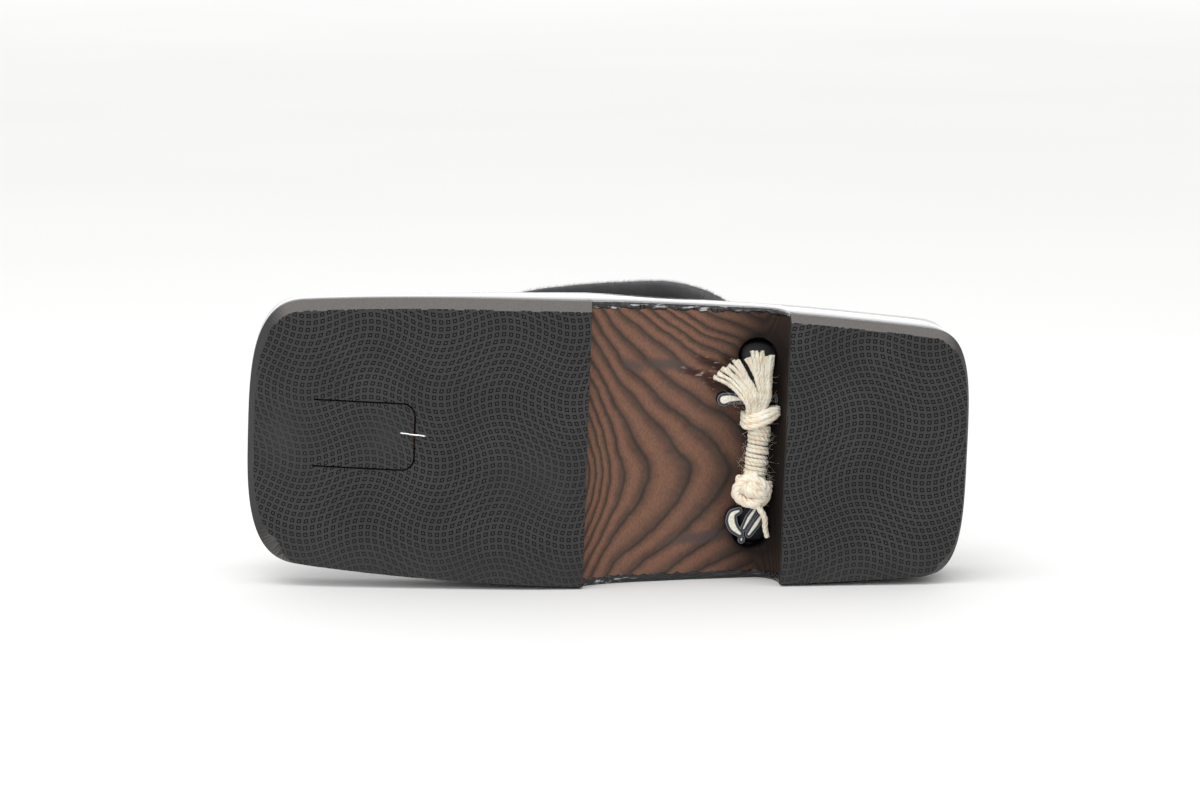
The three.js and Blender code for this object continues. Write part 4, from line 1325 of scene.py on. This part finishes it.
def strap_vinyl():
    material, tree, shader = new_material("strap_vinyl", {"Specular IOR Level": 0.3})
    inward = attribute(tree, "inward")
    foam = noise(tree, 1500, 3)
    core = ramp(tree, foam, [(0.3, (0.62, 0.58, 0.44)), (0.7, (0.86, 0.84, 0.76))])
    edge = ramp(
        tree,
        calc(tree, "DIVIDE", inward, skin_deep),
        [
            (0.0, (0.30, 0.31, 0.34)),
            (0.16, (0.22, 0.23, 0.26)),
            (0.3, (0.030, 0.034, 0.044)),
            (0.8, (0.045, 0.05, 0.062)),
            (0.93, (0.25, 0.25, 0.24)),
        ],
    )
    is_core = calc(tree, "GREATER_THAN", inward, skin_deep * 0.96)
    cut_face = mixed(tree, is_core, edge, core)
    is_skin = calc(tree, "LESS_THAN", inward, -0.25)
    scuff = noise(tree, 260, 4)
    skin = ramp(tree, scuff, [(0.35, (0.004, 0.004, 0.005)), (0.75, (0.014, 0.014, 0.016))])
    gloss = calc(tree, "MULTIPLY_ADD", scuff, 0.2, 0.55)
    creases = noise(tree, 1.0, 3, stretch=(500, 900, 160))
    height = calc(tree, "MULTIPLY_ADD", foam, 0.4, creases)
    roughs = {0: is_skin, 2: 0.75, 3: gloss}
    values = {
        "Base Color": mixed(tree, is_skin, cut_face, skin),
        "Roughness": add(tree, "ShaderNodeMix", roughs, data_type="FLOAT").outputs[0],
        "Normal": bumped(tree, height, 0.00025, 0.5),
    }
    drive(tree, shader, values)
    return material


vinyl = strap_vinyl()
fold_top = float(wood_under(rear_hole_at - rear_hole)) - soft_gap
left_end = joined_piece(
    "folded_end_left",
    [
        band(
            [
                (188.0, -32.5, 28, 13.9, 13.9, 0, 1, 0),
                (188.0, -33.4, 24, 13.2, 11, 0, 1, 0),
                (188.0, -34.6, 21, 12.2, 6.4, 0, 1, 0.2),
                (188.0, -33.0, 17.0, 12.2, 6.0, 0, 0.8, 0.6),
                (188.1, -28.0, 15.2, 11.4, 5.4, 0, 0.3, 1),
                (188.3, -22.0, 14.9, 9.6, 5.0, 0, 0, 1),
                (188.5, -15.5, 14.9, 8.4, 4.6, 0, 0, 1),
            ],
            groove=1.1,
        ),
        leaf(
            [(184.5, -17.0), (181.0, -17.4), (177.5, -17.5), (175.4, -17.0)],
            [1.5, 1.7, 2.3, 2.6],
            cut_height,
            fold_top,
        ),
        leaf([(195.6, -16.4), (195.4, -18.4)], [0.9, 1.0], cut_height + 2.6, fold_top),
    ],
)
right_end = joined_piece(
    "folded_end_right",
    [
        band(
            [
                (188.0, 32.5, 28, 13.9, 13.9, 0, -1, 0),
                (188.0, 33.0, 24, 13.2, 11, 0, -1, 0),
                (188.0, 33.6, 21, 12.2, 6.4, 0, -1, 0.2),
                (188.0, 32.0, 18.2, 12.2, 6.0, 0, -0.8, 0.6),
                (188.1, 27.0, 16.4, 11.4, 5.0, 0, -0.3, 1),
                (188.3, 22.0, 15.4, 9.6, 4.6, 0, 0, 1),
                (188.5, 17.5, 15.0, 8.4, 4.6, 0, 0, 1),
            ],
            groove=0.8,
        ),
        leaf(
            [(182.6, 24.6), (180.4, 25.9), (180.0, 28.4), (181.0, 31.0), (183.4, 33.2)],
            [1.5, 2.0, 2.35, 2.2, 1.6],
            cut_height,
            fold_top,
        ),
        leaf([(189.0, 23.4), (186.6, 27.3), (184.7, 31.2)], [1.5, 1.75, 1.4], cut_height, 17),
        leaf([(191.6, 25.6), (189.2, 29.6), (186.7, 33.4)], [1.5, 1.8, 1.5], cut_height + 0.3, 17),
        leaf([(184.1, 35.2), (184.0, 35.7)], [1.45, 1.4], cut_height + 0.2, 16),
    ],
)
for end, node in ((left_end, "strap_end_left"), (right_end, "strap_end_right")):
    end.data.materials.append(vinyl)
    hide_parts(node)
    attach(end, "root")


# Tie: a soft cotton cord, wound round itself between the two strap ends. Over the left hole its two
# ends fray into their plies, and at the other knot a short end is left hanging.
wrap_turns = 13


def cord_tree():
    """Twisted cord along curves: a round profile with a lobe for each ply, turned as it goes."""
    kinds = dict.fromkeys(("Plies", "Sides"), "NodeSocketInt")
    kinds |= dict.fromkeys(("Lay Length", "Ply Depth"), "NodeSocketFloat")
    kinds["Material"] = "NodeSocketMaterial"
    tree, given, out = node_tree("twisted_cord", kinds)
    value = given.outputs

    def marked(geometry, name, mark):
        values = {"Geometry": geometry, "Name": name, "Value": mark}
        return add(tree, "GeometryNodeStoreNamedAttribute", values, data_type="FLOAT").outputs[0]

    length = add(tree, "GeometryNodeSplineParameter").outputs["Length"]
    turns = times(tree, calc(tree, "DIVIDE", length, value["Lay Length"]), 2 * math.pi)
    tilted = add(tree, "GeometryNodeSetCurveTilt", {"Curve": value["Geometry"], "Tilt": turns})
    along = marked(tilted.outputs[0], "along", length)
    values = {"Resolution": value["Sides"], "Radius": 1.0}
    circle = add(tree, "GeometryNodeCurvePrimitiveCircle", values, mode="RADIUS")
    factor = add(tree, "GeometryNodeSplineParameter").outputs["Factor"]
    around = marked(circle.outputs[0], "around", factor)
    wave = times(tree, times(tree, factor, value["Plies"]), math.pi)
    dip = calc(tree, "POWER", calc(tree, "ABSOLUTE", calc(tree, "COSINE", wave)), 6.0)
    size = calc(tree, "SUBTRACT", 1.0, times(tree, dip, value["Ply Depth"]))
    place = add(tree, "GeometryNodeInputPosition").outputs[0]
    lobed = add(tree, "ShaderNodeVectorMath", {0: place, "Scale": size}, operation="SCALE").outputs[0]
    profile = add(tree, "GeometryNodeSetPosition", {"Geometry": around, "Position": lobed}).outputs[0]
    radius = add(tree, "GeometryNodeInputRadius").outputs[0]
    values = {"Curve": along, "Profile Curve": profile, "Scale": radius, "Fill Caps": True}
    finish_tree(tree, out, add(tree, "GeometryNodeCurveToMesh", values).outputs[0])
    return tree


def cord_curve(name, paths):
    """A curve object with one open spline for each (upright points, radii in millimetres)."""
    curve = bpy.data.curves.new(name, "CURVE")
    curve.dimensions = "3D"
    for points, radii in paths:
        places = lay(points)
        spline = curve.splines.new("POLY")
        spline.points.add(len(places) - 1)
        radii = np.broadcast_to(radii, len(places))
        for point, place, radius in zip(spline.points, places, radii):
            point.co = (*place, 1)
            point.radius = radius / 1000
    piece = bpy.data.objects.new(name, curve)
    bpy.context.scene.collection.objects.link(piece)
    return piece


def soft_cotton():
    material, tree, shader = new_material(
        "tie_cotton", {"Sheen Weight": 0.2, "Subsurface Weight": 0.12, "Subsurface Scale": 0.002}
    )
    along, around = attribute(tree, "along"), attribute(tree, "around")
    values = {"X": times(tree, along, 260.0), "Y": times(tree, around, 34.0)}
    place = add(tree, "ShaderNodeCombineXYZ", values).outputs[0]
    values = {"Vector": place, "Scale": 1.0, "Detail": 3.0}
    fibre = add(tree, "ShaderNodeTexNoise", values).outputs["Fac"]
    cloud = noise(tree, 240, 3)
    pale = ramp(
        tree,
        cloud,
        [(0.32, (0.76, 0.57, 0.35)), (0.5, (0.90, 0.77, 0.57)), (0.66, (0.95, 0.89, 0.76))],
    )
    shade = ramp(tree, fibre, [(0.34, (0.70, 0.51, 0.32)), (0.5, (0.96, 0.91, 0.81))])
    values = {
        "Base Color": mixed(tree, 0.5, pale, shade),
        "Roughness": calc(tree, "MULTIPLY_ADD", fibre, 0.1, 0.82),
        "Normal": bumped(tree, fibre, 0.00022, 0.9),
    }
    drive(tree, shader, values)
    return material


cotton = soft_cotton()
cord = cord_tree()
wrap_height = float(wood_under(rear_hole_at)) - 4.5


def by_wrap(rows):
    """Places whose heights are counted from the winding's middle."""
    return [(x, y, wrap_height + z) for x, y, z in rows]


def winding_paths():
    """The winding, and the core that it is wound on."""
    rng = np.random.default_rng(12)
    turn_steps = 40
    t = np.arange(wrap_turns * turn_steps + 1) / turn_steps
    share = t / wrap_turns

    def uneven(low, high):
        return np.interp(t, np.arange(wrap_turns + 1), rng.uniform(low, high, wrap_turns + 1))

    wander = uneven(-0.35, 0.35)
    size = uneven(3.05, 3.45)
    turn = 2 * math.pi * t
    x = rear_hole_at + 0.8 - 1.4 * (share - 0.5) + 1.02 * size * np.cos(turn)
    y = -8.8 + share * 21.2 + wander + 0.3 * np.sin(turn + 1)
    z = wrap_height + 0.86 * size * np.sin(turn)
    core = by_wrap([(188.6, -14.0, 0), (189.2, 4.0, 0), (188.0, 20.0, 0)])
    return [(np.stack([x, y, z], 1), uneven(0.72, 1.12)), (smooth_path(core, 12), 3.45)]


# The lower knot: a fat loop to the left, one across it and one to the right, round a full middle.
# Each is a route by the winding's middle, and the cord's radius.
knot_loops = (
    (
        [
            (188.6, 11.6, -3.0), (184.6, 12.4, -3.6), (181.9, 15.0, -3.3), (181.4, 18.2, -2.8),
            (184.0, 20.6, -3.2), (187.8, 21.0, -4.0), (191.4, 19.2, -3.2), (192.6, 15.6, -1.2),
        ],
        2.0,
    ),
    (
        [
            (182.8, 12.6, 0.5), (183.6, 14.8, -3.0), (186.4, 16.8, -4.8),
            (189.8, 17.6, -4.6), (192.6, 16.8, -2.6), (193.4, 14.6, 0.6),
        ],
        2.0,
    ),
    (
        [
            (185.0, 10.6, -1.6), (187.6, 12.0, -4.0), (191.0, 13.6, -4.0), (193.0, 16.8, -2.8),
            (191.8, 20.6, -2.4), (188.2, 22.2, -2.0), (184.4, 21.0, 0.5),
        ],
        1.6,
    ),
    ([(183.8, 15.0, -3.2), (186.6, 16.8, -3.9), (189.8, 17.4, -3.0)], 2.7),
    ([(184.4, 13.2, -3.0), (188.0, 15.0, -5.2), (192.0, 16.4, -3.4)], 1.6),
)


def knot_paths():
    """The collar by the left hole, whose turns slant up to the right, then the lower knot."""
    paths = []
    for shift, lift, size in ((0.0, 0.0, 1.3), (-2.0, 0.2, 1.2), (-3.6, -0.3, 1.15)):
        ring = [
            (183.0, -8.2 + shift, 1.0),
            (184.2, -7.4 + shift, -3.0 - lift),
            (188.4, -8.4 + shift, -4.6 - lift),
            (192.6, -10.2 + shift, -3.9 - lift),
            (195.4, -12.2 + shift * 0.5, -2.2),
            (195.0, -12.2 + shift * 0.5, 1.2),
            (191.0, -10.4 + shift * 0.7, 2.6),
            (186.0, -9.0 + shift, 2.8),
        ]
        paths.append((smooth_path(by_wrap(ring), 8), size))
    return paths + [(smooth_path(by_wrap(ring), 8), size) for ring, size in knot_loops]


def fan_paths(plies, heights, seed):
    """Flat plies from the collar to their blunt tips, lying close beside and over each other."""
    rng = np.random.default_rng(seed)
    paths = []
    for tip, middle, root in plies:
        for _ in range(2):
            jitter = rng.normal(0, 0.55, (3, 2))
            depth = rng.uniform(-0.6, 0.6)
            inner_x = 186.6 + 0.55 * (root[0] - 187.5)
            rows = [
                (inner_x, -11.0, wrap_height - 2.6 + 0.4 * depth),
                (root[0] + 0.25 * jitter[0, 0], -root[1], heights[0] + depth),
                (middle[0] + 0.4 * jitter[1, 0], -middle[1] + 0.4 * jitter[1, 1], heights[1] + depth),
                (tip[0] + 0.8 * jitter[2, 0], -tip[1] + 0.8 * jitter[2, 1], heights[2] + 1.3 * depth),
            ]
            path = smooth_path(rows, 9)
            wave = rng.uniform(0, 6)
            path[:, 0] += 0.12 * np.sin(np.arange(len(path)) * 0.8 + wave)
            path[:, 2] += 0.12 * np.cos(np.arange(len(path)) * 0.7 + wave)
            paths.append((path, rng.uniform(0.72, 0.95) * np.linspace(1.0, 0.92, len(path))))
    return paths


def loose_fibres(count, seed):
    """Fine fibres that stand off the winding, the knots and the frayed tips."""
    rng = np.random.default_rng(seed)
    paths = []
    for _ in range(count):
        kind = rng.uniform()
        if kind < 0.55:
            y = rng.uniform(-13, 22)
            start = np.array([188.5 + rng.choice([-1, 1]) * 4.1, y, wrap_height - rng.uniform(-1, 3)])
            lean = np.array([np.sign(start[0] - 188.5) * rng.uniform(0.4, 1.2), rng.normal(0, 0.8), -0.3])
        else:
            start = np.array([rng.uniform(176, 193), rng.uniform(-27, -15), wrap_height - 3.6])
            lean = np.array([rng.normal(0, 1), rng.normal(-0.4, 0.8), rng.uniform(-0.5, 0.1)])
        lean /= np.linalg.norm(lean)
        length = rng.uniform(1.2, 4.2)
        bend = np.cross(lean, rng.normal(0, 1, 3)) * rng.uniform(-0.6, 0.6)
        t = np.linspace(0, 1, 7)[:, None]
        path = start + lean * length * t + bend * length * t**2 + 0.3 * np.sin(3 * t + kind * 9)
        paths.append((path, np.linspace(0.045, 0.02, 7)))
    return paths


def cord_piece(name, node, groups):
    """One piece of the tie, from (paths, plies, lay length, ply depth, sides) groups."""
    meshes = []
    for paths, plies, lay_length, depth, sides in groups:
        values = {"Plies": plies, "Lay Length": lay_length, "Ply Depth": depth, "Sides": sides}
        meshes.append(grow(cord_curve(name, paths), cord, values | {"Material": cotton}))
    piece = meshes[0]
    if len(meshes) > 1:
        with bpy.context.temp_override(
            active_object=piece, selected_editable_objects=meshes, selected_objects=meshes
        ):
            bpy.ops.object.join()
    piece.name = piece.data.name = name
    piece.data.shade_smooth()
    outward(piece)
    piece.data.materials.clear()
    piece.data.materials.append(cotton)
    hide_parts(node)
    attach(piece, "root")
    return piece


# Each ply of the frayed ends by its tip, its middle and its root, as places back and left.
toe_plies = (
    ((171.6, 25.1), (176.8, 22.8), (183.4, 15.7)),
    ((172.6, 27.2), (178.0, 23.7), (184.2, 16.4)),
    ((173.8, 28.9), (179.4, 24.5), (185.0, 17.0)),
    ((175.4, 28.3), (180.4, 24.3), (185.8, 17.5)),
    ((177.0, 29.8), (181.6, 25.3), (186.6, 17.9)),
    ((178.8, 31.3), (182.5, 25.9), (187.2, 18.1)),
    ((180.6, 31.9), (183.3, 26.2), (187.8, 18.1)),
)
heel_plies = (
    ((183.6, 32.6), (186.1, 26.9), (188.6, 19.0)),
    ((185.0, 35.0), (187.2, 27.3), (189.1, 19.0)),
    ((186.6, 35.6), (188.3, 27.3), (189.6, 19.0)),
    ((188.4, 35.4), (189.3, 27.4), (190.2, 19.0)),
    ((190.2, 33.6), (190.6, 27.0), (190.8, 19.0)),
    ((191.6, 34.4), (191.6, 27.0), (191.5, 18.6)),
    ((192.8, 34.2), (192.3, 26.7), (192.1, 18.6)),
)
toe_fan = fan_paths(toe_plies, (10.2, 11.2, 12.2), 3)
heel_fan = fan_paths(heel_plies, (10.4, 10.9, 11.6), 4)
tail_route = [
    (188.2, 20.6, -3.2), (190.2, 23.4, -3.6), (192.2, 27.0, -3.4), (192.6, 30.8, -2.8), (193.6, 34.2, -2.4),
]
tail = smooth_path(by_wrap(tail_route), 10)
tail_radii = np.linspace(1.35, 1.0, len(tail))
cord_piece(
    "tie_winding",
    "tie_wrap",
    [
        (winding_paths(), 3, 0.0045, 0.28, 24),
        (knot_paths(), 4, 0.010, 0.24, 32),
        (loose_fibres(150, 21), 1, 0.01, 0.0, 3),
    ],
)
cord_piece("frayed_end_toe", "tie_fray_toe", [(toe_fan, 3, 0.005, 0.32, 12)])
cord_piece("frayed_end_heel", "tie_fray_heel", [(heel_fan, 3, 0.005, 0.32, 12)])
cord_piece("tie_short_end", "tie_tail", [([(tail, tail_radii)], 3, 0.006, 0.22, 24)])
